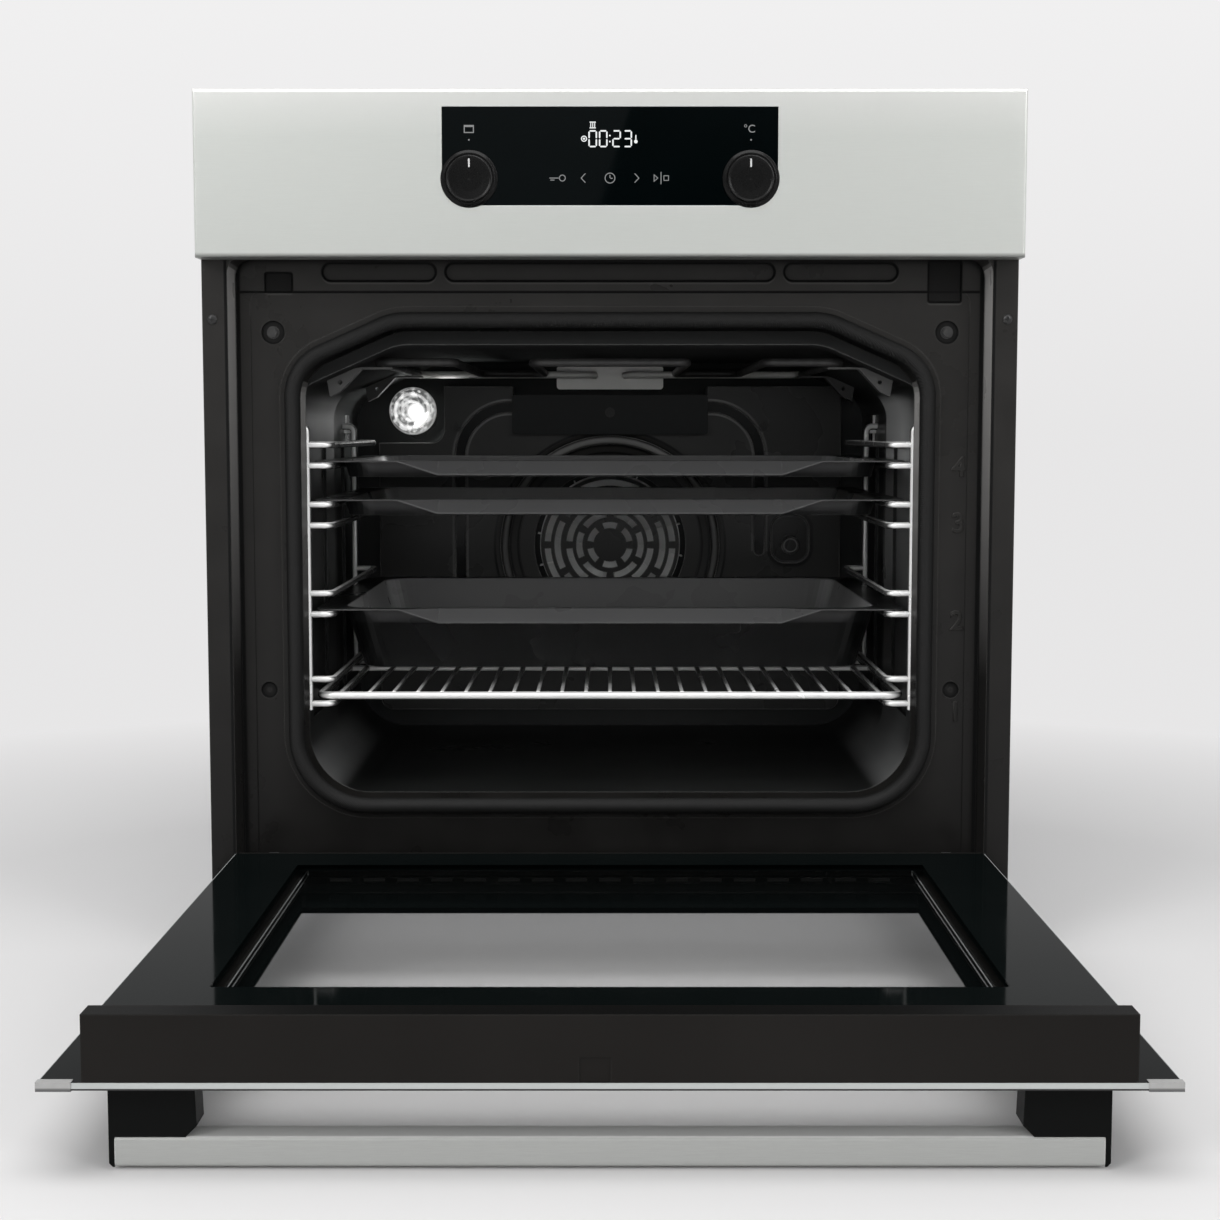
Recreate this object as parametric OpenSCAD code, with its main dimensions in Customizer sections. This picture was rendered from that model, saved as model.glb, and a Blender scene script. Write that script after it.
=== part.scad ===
// Built-in wall oven with a drop-down glass door, two retractable knobs, a hot-air fan,
// a grill, wire side guides, two shallow trays, one deep pan and a wire shelf.
// Millimetres, +Z up, -Y towards the user. The origin is the centre of the housing's underside.
// The door is drawn open, at a right angle to the front.
//
// Inside the modules the front has its own coordinates, placed by at_front():
//   x across, f depth behind the control panel's face, h height above the front's lower edge.

/* [Front] */
// Width of the control panel and of the door glass
front_w = 595; // [590:1:600]
// Height from the frame's lower edge to the control panel's upper edge
front_h = 595; // [594:1:600]
// How far the frame hangs below the housing's underside
front_drop = 5; // [4:1:8]
// Thickness of the enamelled frame sheet
frame_t = 1; // [0.8:0.1:1.2]
// Depth of the recess that takes the closed door
recess_depth = 24; // [24:0.5:30]
// Half width of the recess at its mouth
recess_half_w = 278.5; // [278:0.5:279]
// Height of the recess above the frame's lower edge
recess_top = 480; // [479:1:482]

/* [Control panel] */
// Height of the control panel
panel_h = 119; // [117:1:122]
// Depth of the control panel box
panel_depth = 21; // [20:0.5:21.5]
// Thickness of the steel fascia
panel_t = 1; // [0.8:0.1:1.2]
// Half width of the black glass window
window_half_w = 119.6; // [118:0.2:121]
// Distance from the panel's upper edge to the window
window_drop = 13.4; // [12:0.2:15]
// Height of the black glass window
window_h = 68.8; // [66:0.2:70]
// Distance of each knob from the centre line
knob_x = 100.5; // [99:0.5:102]
// Distance from the panel's upper edge down to the knobs
knob_drop = 63.7; // [62:0.1:66]
// Radius of a knob
knob_r = 16.8; // [16:0.1:17.2]
// How far a pressed knob springs out
knob_travel = 16; // [10:1:18]

/* [Cavity] */
// Half width of the cavity mouth
mouth_half_w = 227.5; // [226.5:0.5:229]
// Height of the mouth's lower edge
mouth_bottom = 78.5; // [76:0.5:80]
// Height of the mouth's upper edge
mouth_top = 426; // [425:0.5:428]
// Half width of the cavity behind the mouth
cavity_half_w = 238; // [237:0.5:240]
// Height of the cavity floor
cavity_floor = 72; // [71:0.5:74]
// Height of the cavity ceiling
cavity_top = 416; // [415:0.5:418]
// Depth of the cavity from the frame to the rear wall
cavity_depth = 400; // [398:1:404]
// Thickness of the enamelled cavity sheet
liner_t = 1; // [0.8:0.1:1.2]
// Diameter of the door seal
seal_d = 12; // [11:0.5:12]

/* [Housing] */
// Width of the housing behind the cabinet face
housing_w = 557; // [557:0.5:558]
// Height of the housing
housing_h = 575; // [574:1:578]
// Depth of the housing behind the cabinet face
housing_depth = 542; // [540:1:550]
// Thickness of the casing sheet
casing_t = 1; // [0.6:0.1:1.2]

/* [Door] */
// Height of the door glass
door_h = 457.5; // [456:0.5:458]
// Height of the door's lower edge above the frame's lower edge
door_bottom = 15; // [14.5:0.5:16]
// Thickness of the outer glass
outer_glass_t = 4; // [3.2:0.1:4]
// Thickness of the inner and the middle glass
inner_glass_t = 4; // [3.2:0.1:4]
// Depth from the door's face to the inner glass's inner side
door_depth = 32.5; // [32:0.1:32.6]
// Half width of the inner glass
inner_half_w = 274; // [272:0.5:274.5]
// Depth of the hinge pin behind the door's face
pivot_f = 11.5; // [11:0.5:12]
// Height of the hinge pin
pivot_h = 23; // [23:0.5:24]
// Distance of each hinge from the centre line
hinge_x = 249; // [248:0.5:250]
// Diameter of a hinge pin
hinge_pin_d = 6; // [5:0.5:7]

/* [Handle] */
// Half length of the handle bar
handle_half_w = 265.2; // [255:0.5:270]
// Width of each black handle bracket
bracket_w = 46.8; // [40:0.2:50]
// Height of the bar's section
bar_h = 19; // [16:0.5:22]
// Depth of the bar's section
bar_depth = 16.3; // [14:0.1:18]
// Gap between the glass and the bar
handle_gap = 31.2; // [28:0.1:36]
// Distance from the door's upper edge to the bar
handle_drop = 18; // [16:0.5:24]

/* [Shelves] */
// Heights of the eight guide rungs, in pairs from the top
rungs = [341.6, 325.9, 296.7, 280.9, 229.6, 213.7, 164.3, 145.5];
// Diameter of a rung
rung_d = 5; // [4.5:0.1:5.2]
// Diameter of a guide's frame wire
guide_d = 5.5; // [5:0.1:5.8]
// Half width over the rims of trays and shelf
tray_half_w = 224; // [222:0.5:224.5]
// Length of the trays and of the shelf from front to back
tray_len = 335; // [325:1:338]
// Depth of the two shallow trays
shallow_depth = 12.5; // [10:0.5:16]
// Depth of the deep pan
deep_depth = 47; // [42:0.5:48]
// Number of long bars in the wire shelf
shelf_bars = 21; // [15:2:25]

/* [Hot air] */
// Height of the fan's axis
fan_h = 246; // [244:0.5:248]
// Radius of the fan wheel
fan_r = 70; // [64:0.5:72]
// Number of fan blades
fan_blades = 14; // [10:1:16]
// Radius of the ring heater's centre line
ring_r = 88; // [84:0.5:92]
// Diameter of the heater tubes
heater_d = 6.5; // [6:0.1:7]

/* [Hidden] */

// Colours
enamel = "#1c1b1b";
stainless = "#c9cec8";
black_glass = "#0d0f0f";
zinc = "#a9adb0";
chrome = "#c8cbcc";
matt_black = "#17191a";

// Clearances
eps = 0.01;
gap = 0.3;          // between pieces that lie loosely on each other
running = 0.05;     // radial clearance of a shaft in its bore
slide_gap = 0.5;    // each side of a hinge arm between its cheeks

// Depths behind the front's face
flange_f = panel_depth;
cabinet_f = flange_f + 3;
plate_f = flange_f + recess_depth;
plate_back = plate_f + frame_t;
rear_wall_f = plate_back + cavity_depth;
back_f = cabinet_f + housing_depth;
face_y = -cabinet_f - housing_depth / 2;

// Heights above the front's lower edge
panel_bottom = front_h - panel_h;
window_top = front_h - window_drop;
window_bottom = window_top - window_h;
knob_h = front_h - knob_drop;
housing_bottom = front_drop;
housing_top = front_drop + housing_h;
recess_bottom = 12;
door_top = door_bottom + door_h;

half_w = front_w / 2;
casing_half_w = housing_w / 2;

module at_front() {
    translate([0, face_y, -front_drop]) children();
}

// Turns door parts, drawn closed, to the open position about the hinge pins.
module door_open() {
    at_front() translate([0, pivot_f, pivot_h]) rotate([90, 0, 0])
        translate([0, -pivot_f, -pivot_h]) children();
}

module both_sides() {
    children();
    mirror([1, 0, 0]) children();
}

// An outline in x and h, pushed through from depth a to depth b.
module along_f(a, b) {
    translate([0, b, 0]) rotate([90, 0, 0]) linear_extrude(height = b - a) children();
}

// An outline in f and h, pushed across from x = a to x = b.
module along_x(a, b) {
    translate([a, 0, 0]) rotate([90, 0, 90]) linear_extrude(height = b - a) children();
}

// An outline in x and f, pushed up from height a to height b.
module along_h(a, b) {
    translate([0, 0, a]) linear_extrude(height = b - a) children();
}

// A round bar along the depth.
module pin_f(x, h, a, b, d) {
    translate([x, a, h]) rotate([-90, 0, 0]) cylinder(d = d, h = b - a, $fn = 48);
}

module rect(x0, y0, x1, y1) {
    translate([x0, y0]) square([x1 - x0, y1 - y0]);
}

module round_rect(x0, y0, x1, y1, r) {
    rect(x0 + r, y0, x1 - r, y1);
    rect(x0, y0 + r, x1, y1 - r);
    for (x = [x0 + r, x1 - r], y = [y0 + r, y1 - r])
        translate([x, y]) circle(r = r, $fn = 32);
}

// An outline of arcs joined by straight tangents. Each corner holds the arc's centre, its
// radius and the directions of the outward normal where it starts and ends.
module arc_outline(corners, grow = 0) {
    polygon([for (c = corners, a = [c[3], c[4]])
        [c[0] + (c[2] + grow) * cos(a), c[1] + (c[2] + grow) * sin(a)]]);
    for (c = corners)
        translate([c[0], c[1]]) circle(r = c[2] + grow, $fn = 48);
}

// The arched cavity section: upright sides, sloping shoulders and a flat top.
shoulder_a = 66;
flat_half_w = 150;
function arch(hw, bottom, top, rb, rm, rt) =
    let (hm = (flat_half_w * cos(shoulder_a) + (top - rt) * sin(shoulder_a) + rt - rm
               - (hw - rm) * cos(shoulder_a)) / sin(shoulder_a))
    [[hw - rb, bottom + rb, rb, -90, 0],
     [hw - rm, hm, rm, 0, shoulder_a],
     [flat_half_w, top - rt, rt, shoulder_a, 90],
     [-flat_half_w, top - rt, rt, 90, 180 - shoulder_a],
     [rm - hw, hm, rm, 180 - shoulder_a, 180],
     [rb - hw, bottom + rb, rb, 180, 270]];

mouth = arch(mouth_half_w, mouth_bottom, mouth_top, 46, 28, 40);
cavity = arch(cavity_half_w, cavity_floor, cavity_top, 44, 30, 42);
lip_flare = 4;
lip_len = 6;

// A straight round bar between two points.
module bar(a, b, d) {
    v = b - a;
    len = norm(v);
    translate(a) rotate([0, acos(v[2] / len), atan2(v[1], v[0])])
        cylinder(d = d, h = len, $fn = 24);
}

function unit(v) = v / norm(v);
function corner_cut(p, q, r, bend) =
    let (turn = acos(max(-1, min(1, unit(q - p) * unit(r - q))))) bend * tan(turn / 2);

// A round bend between the straight runs p-q and q-r.
module elbow(p, q, r, bend, d) {
    u = unit(q - p);
    w = unit(r - q);
    turn = acos(u * w);
    centre = q + unit(w - u) * bend / cos(turn / 2);
    start = unit(q - u * bend * tan(turn / 2) - centre);
    axis = unit(cross(u, w));
    side = cross(axis, start);
    multmatrix([[start[0], side[0], axis[0], centre[0]],
                [start[1], side[1], axis[1], centre[1]],
                [start[2], side[2], axis[2], centre[2]],
                [0, 0, 0, 1]])
        rotate_extrude(angle = turn, $fn = 48)
            translate([bend, 0]) circle(d = d, $fn = 24);
}

// A wire bent along a list of points.
module wire(points, bend, d) {
    last = len(points) - 1;
    for (i = [0 : last - 1]) {
        u = unit(points[i + 1] - points[i]);
        from_cut = i == 0 ? 0 : corner_cut(points[i - 1], points[i], points[i + 1], bend);
        to_cut = i == last - 1 ? 0
            : corner_cut(points[i], points[i + 1], points[i + 2], bend);
        bar(points[i] + u * from_cut, points[i + 1] - u * to_cut, d);
    }
    for (i = [1 : last - 1])
        elbow(points[i - 1], points[i], points[i + 1], bend, d);
}

// ---------------------------------------------------------------- front frame

module recess_outline(inset = 0, r = 14) {
    round_rect(inset - recess_half_w, recess_bottom + inset, recess_half_w - inset,
               recess_top - inset, r);
}

recess_draft = 2;
slot_h = 469;
slot_size = 13.3;
boss_x = 249.6;
boss_h = 424.8;
mark_x = 256.2;
mark_h = 158;
cabinet_hole_x = 289.5;
cabinet_hole_h = 433;
cabinet_hole_r = 2.5;
hinge_slot_w = 12;
emboss = 1.5;

// Centre and half length of the three long pockets above the mouth.
slots = [[-170.6, 42], [0, 121.7], [170.6, 42]];

module slot_outline(s, grow = 0) {
    round_rect(s[0] - s[1] - grow, slot_h - slot_size / 2 - grow, s[0] + s[1] + grow,
               slot_h + slot_size / 2 + grow, slot_size / 2 + grow - eps);
}

module pocket_outlines(grow = 0) {
    for (s = slots)
        slot_outline(s, grow);
    rect(-254.8 - grow, 454.4 - grow, -235 + grow, 468.3 + grow);
    rect(235.4 - grow, 447 - grow, 259.5 + grow, 477 + grow);
    for (x = [-boss_x, boss_x])
        translate([x, boss_h]) circle(r = 8.5 + grow, $fn = 40);
    for (x = [-mark_x, mark_x])
        translate([x, mark_h]) circle(r = 6 + grow, $fn = 32);
}

module front_frame() {
    color(enamel) at_front() difference() {
        union() {
            // flange against the cabinet, with a hem folded back round its edge
            along_f(flange_f, flange_f + frame_t) difference() {
                round_rect(-half_w + 0.5, 0, half_w - 0.5, front_h - 3, 2);
                recess_outline();
                round_rect(-262, recess_top + 10, 262, housing_top + 2, 6);
            }
            along_f(flange_f, cabinet_f) difference() {
                round_rect(-half_w + 0.5, 0, half_w - 0.5, front_h - 3, 2);
                rect(-half_w + 1.5, 1, half_w - 1.5, front_h - 4);
            }
            along_f(cabinet_f - frame_t, cabinet_f) difference() {
                round_rect(-half_w + 0.5, 0, half_w - 0.5, front_h - 3, 2);
                rect(-half_w + 14, 4, half_w - 14, front_h - 8);
            }
            // drawn wall of the recess
            difference() {
                hull() {
                    along_f(flange_f, flange_f + 0.2) recess_outline(-frame_t);
                    along_f(plate_f, plate_back) recess_outline(recess_draft - frame_t);
                }
                hull() {
                    along_f(flange_f - eps, flange_f + 0.2) recess_outline();
                    along_f(plate_f, plate_back + eps) recess_outline(recess_draft);
                }
            }
            // plate round the mouth
            along_f(plate_f, plate_back) difference() {
                rect(-casing_half_w, housing_bottom, casing_half_w, recess_top + 1);
                arc_outline(mouth, lip_flare);
            }
            // lip of the mouth
            difference() {
                hull() {
                    along_f(plate_f, plate_f + 0.2) arc_outline(mouth, lip_flare + frame_t);
                    along_f(plate_f + lip_len, plate_f + lip_len + 4)
                        arc_outline(mouth, frame_t);
                }
                hull() {
                    along_f(plate_f - eps, plate_f + 0.2) arc_outline(mouth, lip_flare);
                    along_f(plate_f + lip_len, plate_f + lip_len + 4 + eps)
                        arc_outline(mouth);
                }
            }
            // backs of the pressed pockets
            along_f(plate_f, plate_back + emboss) pocket_outlines(frame_t);
            // side and top returns of the control compartment
            along_f(flange_f, plate_back) difference() {
                rect(-casing_half_w, recess_top + 1, casing_half_w, housing_top);
                rect(-casing_half_w + frame_t, recess_top, casing_half_w - frame_t,
                     housing_top - frame_t);
            }
        }
        along_f(plate_f - eps, plate_f + emboss) pocket_outlines();
        // shallow sunk field below the long pockets
        along_f(plate_f - eps, plate_f + 0.4) difference() {
            round_rect(-266, 24, 266, 454.4, 8);
            arc_outline(mouth, 18);
        }
        for (x = [-cabinet_hole_x, cabinet_hole_x])
            pin_f(x, cabinet_hole_h, flange_f - 1, cabinet_f + 1, 2 * cabinet_hole_r);
        for (x = [-boss_x, boss_x])
            pin_f(x, boss_h, plate_f, plate_back + emboss + 1, 5);
        for (x = [-hinge_x, hinge_x])
            along_f(plate_f - 1, plate_back + 1)
                rect(x - hinge_slot_w / 2, pivot_h - 7.5, x + hinge_slot_w / 2, pivot_h + 7.5);
        // cooling air leaves here, above the door
        for (i = [-11 : 11])
            translate([i * 16, flange_f + 12, recess_top])
                cube([11, 8, 8], center = true);
    }
}

module door_seal() {
    r = seal_d / 2;
    grow = 1.5 + r;
    f = plate_f - r - eps;
    color("#141414") at_front() {
        for (c = mouth)
            translate([c[0], f, c[1]]) rotate([90, 0, 0]) rotate([0, 0, c[3]])
                rotate_extrude(angle = c[4] - c[3], $fn = 48)
                    translate([c[2] + grow, 0]) circle(r = r, $fn = 24);
        for (i = [0 : 5]) {
            c = mouth[i];
            n = mouth[(i + 1) % 6];
            from = [c[0] + (c[2] + grow) * cos(c[4]), f, c[1] + (c[2] + grow) * sin(c[4])];
            to = [n[0] + (n[2] + grow) * cos(n[3]), f, n[1] + (n[2] + grow) * sin(n[3])];
            bar(from - unit(to - from), to + unit(to - from), seal_d - 0.2);
        }
    }
}

// ---------------------------------------------------------------- control panel

panel_edge_r = 3;

module panel_section(t = 0) {
    r = panel_edge_r - t;
    rect(t + r, panel_bottom + t, panel_depth, front_h - t);
    rect(t, panel_bottom + t + r, panel_depth, front_h - t - r);
    for (h = [panel_bottom + t + r, front_h - t - r])
        translate([t + r, h]) circle(r = r, $fn = 32);
}

// The window's lower corners end at the knobs.
module window_outline(grow = 0) {
    difference() {
        rect(-window_half_w - grow, window_bottom - grow, window_half_w + grow,
             window_top + grow);
        both_sides()
            rect(knob_x + grow, window_bottom - 2, window_half_w + 2, knob_h - grow);
    }
}

ring_r_out = 20.2;
ring_wall = 3.1;
ring_front = -1.8;
glass_seat_f = 3.1;

module knob_holes(r) {
    for (x = [-knob_x, knob_x])
        translate([x, knob_h]) circle(r = r, $fn = 64);
}

module control_panel() {
    color(stainless) at_front() difference() {
        intersection() {
            along_x(-half_w, half_w) panel_section();
            along_h(panel_bottom - 1, front_h + 1)
                round_rect(-half_w, 0, half_w, panel_depth + 10, 2);
        }
        along_x(panel_t - half_w, half_w - panel_t) panel_section(panel_t);
        translate([panel_t - half_w, panel_depth - eps, panel_bottom + 10])
            cube([front_w - 2 * panel_t, 2, panel_h - 20]);
        along_f(-1, panel_t + 1) {
            window_outline(gap);
            knob_holes(ring_r_out + gap);
        }
    }
}

module panel_glass() {
    color(black_glass) at_front() along_f(0.1, glass_seat_f) difference() {
        window_outline();
        knob_holes(ring_r_out + gap);
    }
}

carrier_back = 28;
carrier_low = window_bottom - 8.8;
well_wall = 2;
well_r = knob_r + 0.4;

module panel_carrier() {
    color("#2b2d2e") at_front() difference() {
        union() {
            difference() {
                union() {
                    along_f(panel_t, flange_f - gap)
                        round_rect(-135, carrier_low, 135, window_top + 8.4, 4);
                    along_f(panel_t, carrier_back + 2)
                        round_rect(-135, carrier_low, 135, window_top - 3.6, 4);
                }
                along_f(0, glass_seat_f) window_outline(gap);
                along_f(glass_seat_f - eps, carrier_back)
                    rect(-115, window_bottom + 3.2, 115, window_top - 6.6);
            }
            for (x = [-knob_x, knob_x])
                pin_f(x, knob_h, glass_seat_f, carrier_back + 1, 2 * (well_r + well_wall));
            for (x = [-66, 66], h = [window_bottom + 11.2, window_top - 9.6])
                pin_f(x, h, 13.6, carrier_back + 1, 5);
        }
        for (x = [-knob_x, knob_x]) {
            pin_f(x, knob_h, 0, glass_seat_f, 2 * (ring_r_out + gap));
            pin_f(x, knob_h, 0, carrier_back, 2 * well_r);
            pin_f(x, knob_h, 0, carrier_back + 3, 8);
        }
        for (x = [-60, -36, -12, 12, 36, 60])
            along_f(carrier_back - 1, carrier_back + 3)
                rect(x - 8, window_bottom + 37.2, x + 8, window_bottom + 40.2);
    }
}

module display_board() {
    color("#1d4a2b") at_front() {
        along_f(12, 13.6) round_rect(-72, window_bottom + 7.2, 72, window_top - 7, 3);
        along_f(5, 12) rect(-32, window_bottom + 32.2, 32, window_top - 9.6);
        along_f(5, 12) rect(-44, window_bottom + 9.2, 44, window_bottom + 21.2);
    }
}

module knob_rings() {
    color(matt_black) at_front() for (x = [-knob_x, knob_x])
        translate([x, glass_seat_f, knob_h]) rotate([90, 0, 0])
            rotate_extrude($fn = 96) polygon([
                [ring_r_out - ring_wall, 0], [ring_r_out, 0],
                [ring_r_out, glass_seat_f + 0.4],
                [ring_r_out - 2, glass_seat_f - ring_front],
                [ring_r_out - ring_wall, glass_seat_f - ring_front]]);
}

spindle_r = 3;
knob_front = -2.6;

module rotary_switch(x) {
    color("#d8d4c4") at_front() difference() {
        union() {
            along_f(carrier_back + 2, carrier_back + 22)
                round_rect(x - 17, knob_h - 17, x + 17, knob_h + 17, 4);
            pin_f(x, knob_h, carrier_back + 22, carrier_back + 26, 20);
            for (dx = [-12, -4, 4, 12])
                along_f(carrier_back + 22, carrier_back + 28)
                    rect(x + dx - 2.4, knob_h - 15, x + dx + 2.4, knob_h - 14.2);
        }
        pin_f(x, knob_h, carrier_back, carrier_back + 23, 2 * (spindle_r + running));
    }
}

module function_switch() rotary_switch(-knob_x);
module temperature_switch() rotary_switch(knob_x);

module spindle(x) {
    color(zinc) at_front() {
        pin_f(x, knob_h, 2, carrier_back + 22.5, 2 * spindle_r);
        pin_f(x, knob_h, carrier_back + 0.4, carrier_back + 1.6, 7.4);
    }
}

module function_spindle() spindle(-knob_x);
module temperature_spindle() spindle(knob_x);

// A hollow knob with a dished face and a long boss for the spindle.
module knob(x) {
    color(matt_black) at_front() translate([x, 0, knob_h]) rotate([90, 0, 0])
        difference() {
            rotate_extrude($fn = 96) polygon([
                [0, 1.4], [9, 1.5], [14.6, 2.1], [knob_r - 0.9, -knob_front],
                [knob_r, -knob_front - 0.9], [knob_r, -17], [knob_r - 1.6, -17],
                [knob_r - 1.6, -0.8], [5.2, -0.8], [5.2, -24], [0, -24]]);
            translate([0, 0, -25]) cylinder(r = spindle_r + running, h = 24.2, $fn = 48);
            translate([-0.8, 6.5, 1.2]) cube([1.6, 8.2, 3]);
            for (a = [0 : 15 : 345])
                rotate([0, 0, a]) translate([knob_r + 0.9, 0, -18])
                    cylinder(r = 1.2, h = 16, $fn = 16);
        }
}

module function_knob() knob(-knob_x);
module temperature_knob() knob(knob_x);

// ---------------------------------------------------------------- cavity

lamp_x = -185.7;
lamp_h = 370.8;
lamp_r = 22.4;
cover_f = 412;
cover_t = 1.2;
fan_shaft_r = 4;
ring_lead_x = 12;
grill_h = 404;
rib = 4;
grill_lead_x = 14.5;
grill_rear_f = rear_wall_f - 21;

// Pressed fields in each side wall, from and to along the depth.
fields = [[145, 235], [292, 350]];

module cavity_liner() {
    front = plate_f + lip_len + 4 + gap;
    color(enamel) at_front() {
        difference() {
            union() {
                along_f(front, rear_wall_f) arc_outline(cavity, liner_t);
                both_sides() for (s = fields)
                    along_f(s[0], s[1]) rect(cavity_half_w, 122, cavity_half_w + rib, 344);
            }
            along_f(front - 1, rear_wall_f + 1) arc_outline(cavity);
            both_sides() for (s = fields)
                along_f(s[0] + 1, s[1] - 1)
                    rect(cavity_half_w - 1, 123, cavity_half_w + rib - 1, 343);
        }
        // flange that meets the frame's lip
        along_f(front, front + liner_t) difference() {
            arc_outline(cavity, 12);
            intersection() {
                arc_outline(mouth);
                arc_outline(cavity);
            }
        }
    }
}

module cavity_rear_wall() {
    color(enamel) at_front() difference() {
        along_f(rear_wall_f, rear_wall_f + liner_t) arc_outline(cavity, 8);
        pin_f(lamp_x, lamp_h, rear_wall_f - 1, rear_wall_f + 3, 2 * (lamp_r - 2));
        pin_f(0, fan_h, rear_wall_f - 1, rear_wall_f + 3, 14);
        for (x = [-ring_lead_x, ring_lead_x])
            pin_f(x, fan_h + ring_r - 1, rear_wall_f - 1, rear_wall_f + 3, heater_d + 3);
        for (x = [-grill_lead_x, grill_lead_x])
            pin_f(x, grill_h, rear_wall_f - 1, rear_wall_f + 3, heater_d + 2);
    }
}

cover_half_w = 214;
cover_bottom = 92;
cover_top = 393;
notch_x = -153.5;
notch_h = 341;
vent_half_w = 90;
vent_low = 349;
vent_high = 385;
fin_rings = [18.5, 28.7, 38, 49, 58.2, 67.5];
slot_w = 5.6;
dish_r = 107;
dish_in = 86;
dish_depth = 7;
bead_r = 98;
bead_d = 8;
groove_deep = 4.4;

// Cover outline with a corner cut away for the lamp and a gap at the top over the vent.
module cover_outline(inset = 0) {
    difference() {
        round_rect(inset - cover_half_w, cover_bottom + inset, cover_half_w - inset,
                   cover_top - inset, 10);
        round_rect(-300, notch_h - inset, notch_x + inset, 500, 12);
        rect(-vent_half_w - inset, vent_high - inset, vent_half_w + inset, 500);
    }
}

// One curved air slot of the fan grille.
module air_slot(r, a0, a1) {
    rotate([0, 0, a0]) rotate_extrude(angle = a1 - a0, $fn = 64)
        translate([r - slot_w / 2, -20]) square([slot_w, 40]);
}

// Pressed panel in front of the fan: a dished ring round the grille with a raised bead on
// its slope, two curved grooves beside it and a rim folded back to the rear wall.
module fan_cover() {
    color(enamel) at_front() {
        translate([0, cover_f, fan_h]) rotate([-90, 0, 0])
            rotate_extrude($fn = 96) translate([bead_r, 3.2]) circle(d = bead_d, $fn = 32);
        difference() {
            union() {
                along_f(cover_f, cover_f + cover_t) cover_outline();
                along_f(cover_f, rear_wall_f) difference() {
                    cover_outline();
                    cover_outline(cover_t);
                }
                translate([0, cover_f + cover_t, fan_h]) rotate([-90, 0, 0])
                    rotate_extrude($fn = 96) polygon([
                        [dish_r, 0], [dish_in, dish_depth], [0, dish_depth],
                        [0, 0]]);
                groove(6, cover_f, cover_f + groove_deep + cover_t, 241);
                mirror([1, 0, 0]) groove(6, cover_f, cover_f + groove_deep + cover_t, 214);
                along_f(cover_f, cover_f + 4.6)
                    round_rect(148, 228, 187, 276, 15);
            }
            translate([0, cover_f - eps, fan_h]) rotate([-90, 0, 0])
                rotate_extrude($fn = 96) polygon([
                    [0, -1], [dish_r - 1, -1], [dish_r - 1, 0], [dish_in - 1, dish_depth],
                    [0, dish_depth]]);
            groove(4.8, cover_f - 1, cover_f + groove_deep, 241);
            mirror([1, 0, 0]) groove(4.8, cover_f - 1, cover_f + groove_deep, 214);
            along_f(cover_f - 1, cover_f + 3.4) difference() {
                round_rect(149.5, 229.5, 185.5, 274.5, 13.5);
                translate([168, 246]) circle(r = 8, $fn = 32);
            }
            translate([0, cover_f, fan_h]) rotate([90, 0, 0])
                for (i = [0 : len(fin_rings) - 1], k = [0 : 5]) {
                    web = asin(3.4 / fin_rings[i]);
                    air_slot(fin_rings[i], k * 60 + (i % 2) * 30 + web,
                             (k + 1) * 60 + (i % 2) * 30 - web);
                }
            // hot air leaves through the folded rim on both sides
            both_sides() for (h = [120 : 26 : 300])
                translate([cover_half_w - 3, cover_f + 10, h]) cube([6, 18, 16]);
            for (x = [-142, 142], h = [112, 355.7])
                pin_f(x, h, cover_f - 1, cover_f + 3, 4.5);
            pin_f(0, 369, cover_f - 1, cover_f + 3, 4.5);
        }
    }
}

// A pressed groove that starts beside the vent and curves down beside the fan.
module groove(w, a, b, low) {
    x = 139;
    r = 46;
    h = 328;
    along_f(a, b) rect(x - w, low, x + w, h);
    along_f(a, b) rect(x - r - 8, h + r - w, x - r, h + r + w);
    translate([x - r, b, h]) rotate([90, 0, 0])
        rotate_extrude(angle = 90, $fn = 64) translate([r - w, 0]) square([2 * w, b - a]);
    translate([x, b, low]) rotate([90, 0, 0]) rotate([0, 0, 180])
        rotate_extrude(angle = 180, $fn = 48) square([w, b - a]);
}

vent_f = 396;

module vent_cover() {
    color(enamel) at_front() difference() {
        union() {
            along_f(vent_f, cover_f)
                round_rect(-vent_half_w, vent_low, vent_half_w, vent_high, 3);
        }
        along_f(vent_f + 1, cover_f + 1)
            rect(1 - vent_half_w, vent_low + 1, vent_half_w - 1, vent_high - 1);
        // opening along the top for steam
        along_f(vent_f + 3, cover_f - 3) rect(-86, vent_high - 5, 86, vent_high + 5);
        pin_f(0, 369, vent_f - 1, vent_f + 3, 4.5);
    }
}

// Hexagon-headed screws: four in the fan cover, one in the vent, two in the frame.
module hex_screw(x, h, f, len) {
    translate([x, f, h]) rotate([90, 0, 0]) {
        cylinder(r = 4.6, h = 0.8, $fn = 32);
        cylinder(r = 3.6, h = 3, $fn = 6);
    }
    pin_f(x, h, f, f + len, 4);
}

module cavity_screws() {
    color("#262626") at_front() {
        for (x = [-142, 142], h = [112, 355.7])
            hex_screw(x, h, cover_f, 30);
        hex_screw(0, 369, vent_f, 30);
        for (x = [-boss_x, boss_x])
            hex_screw(x, boss_h, plate_f + emboss, 12);
    }
}

fan_front = 421;
fan_depth = 18;

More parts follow.
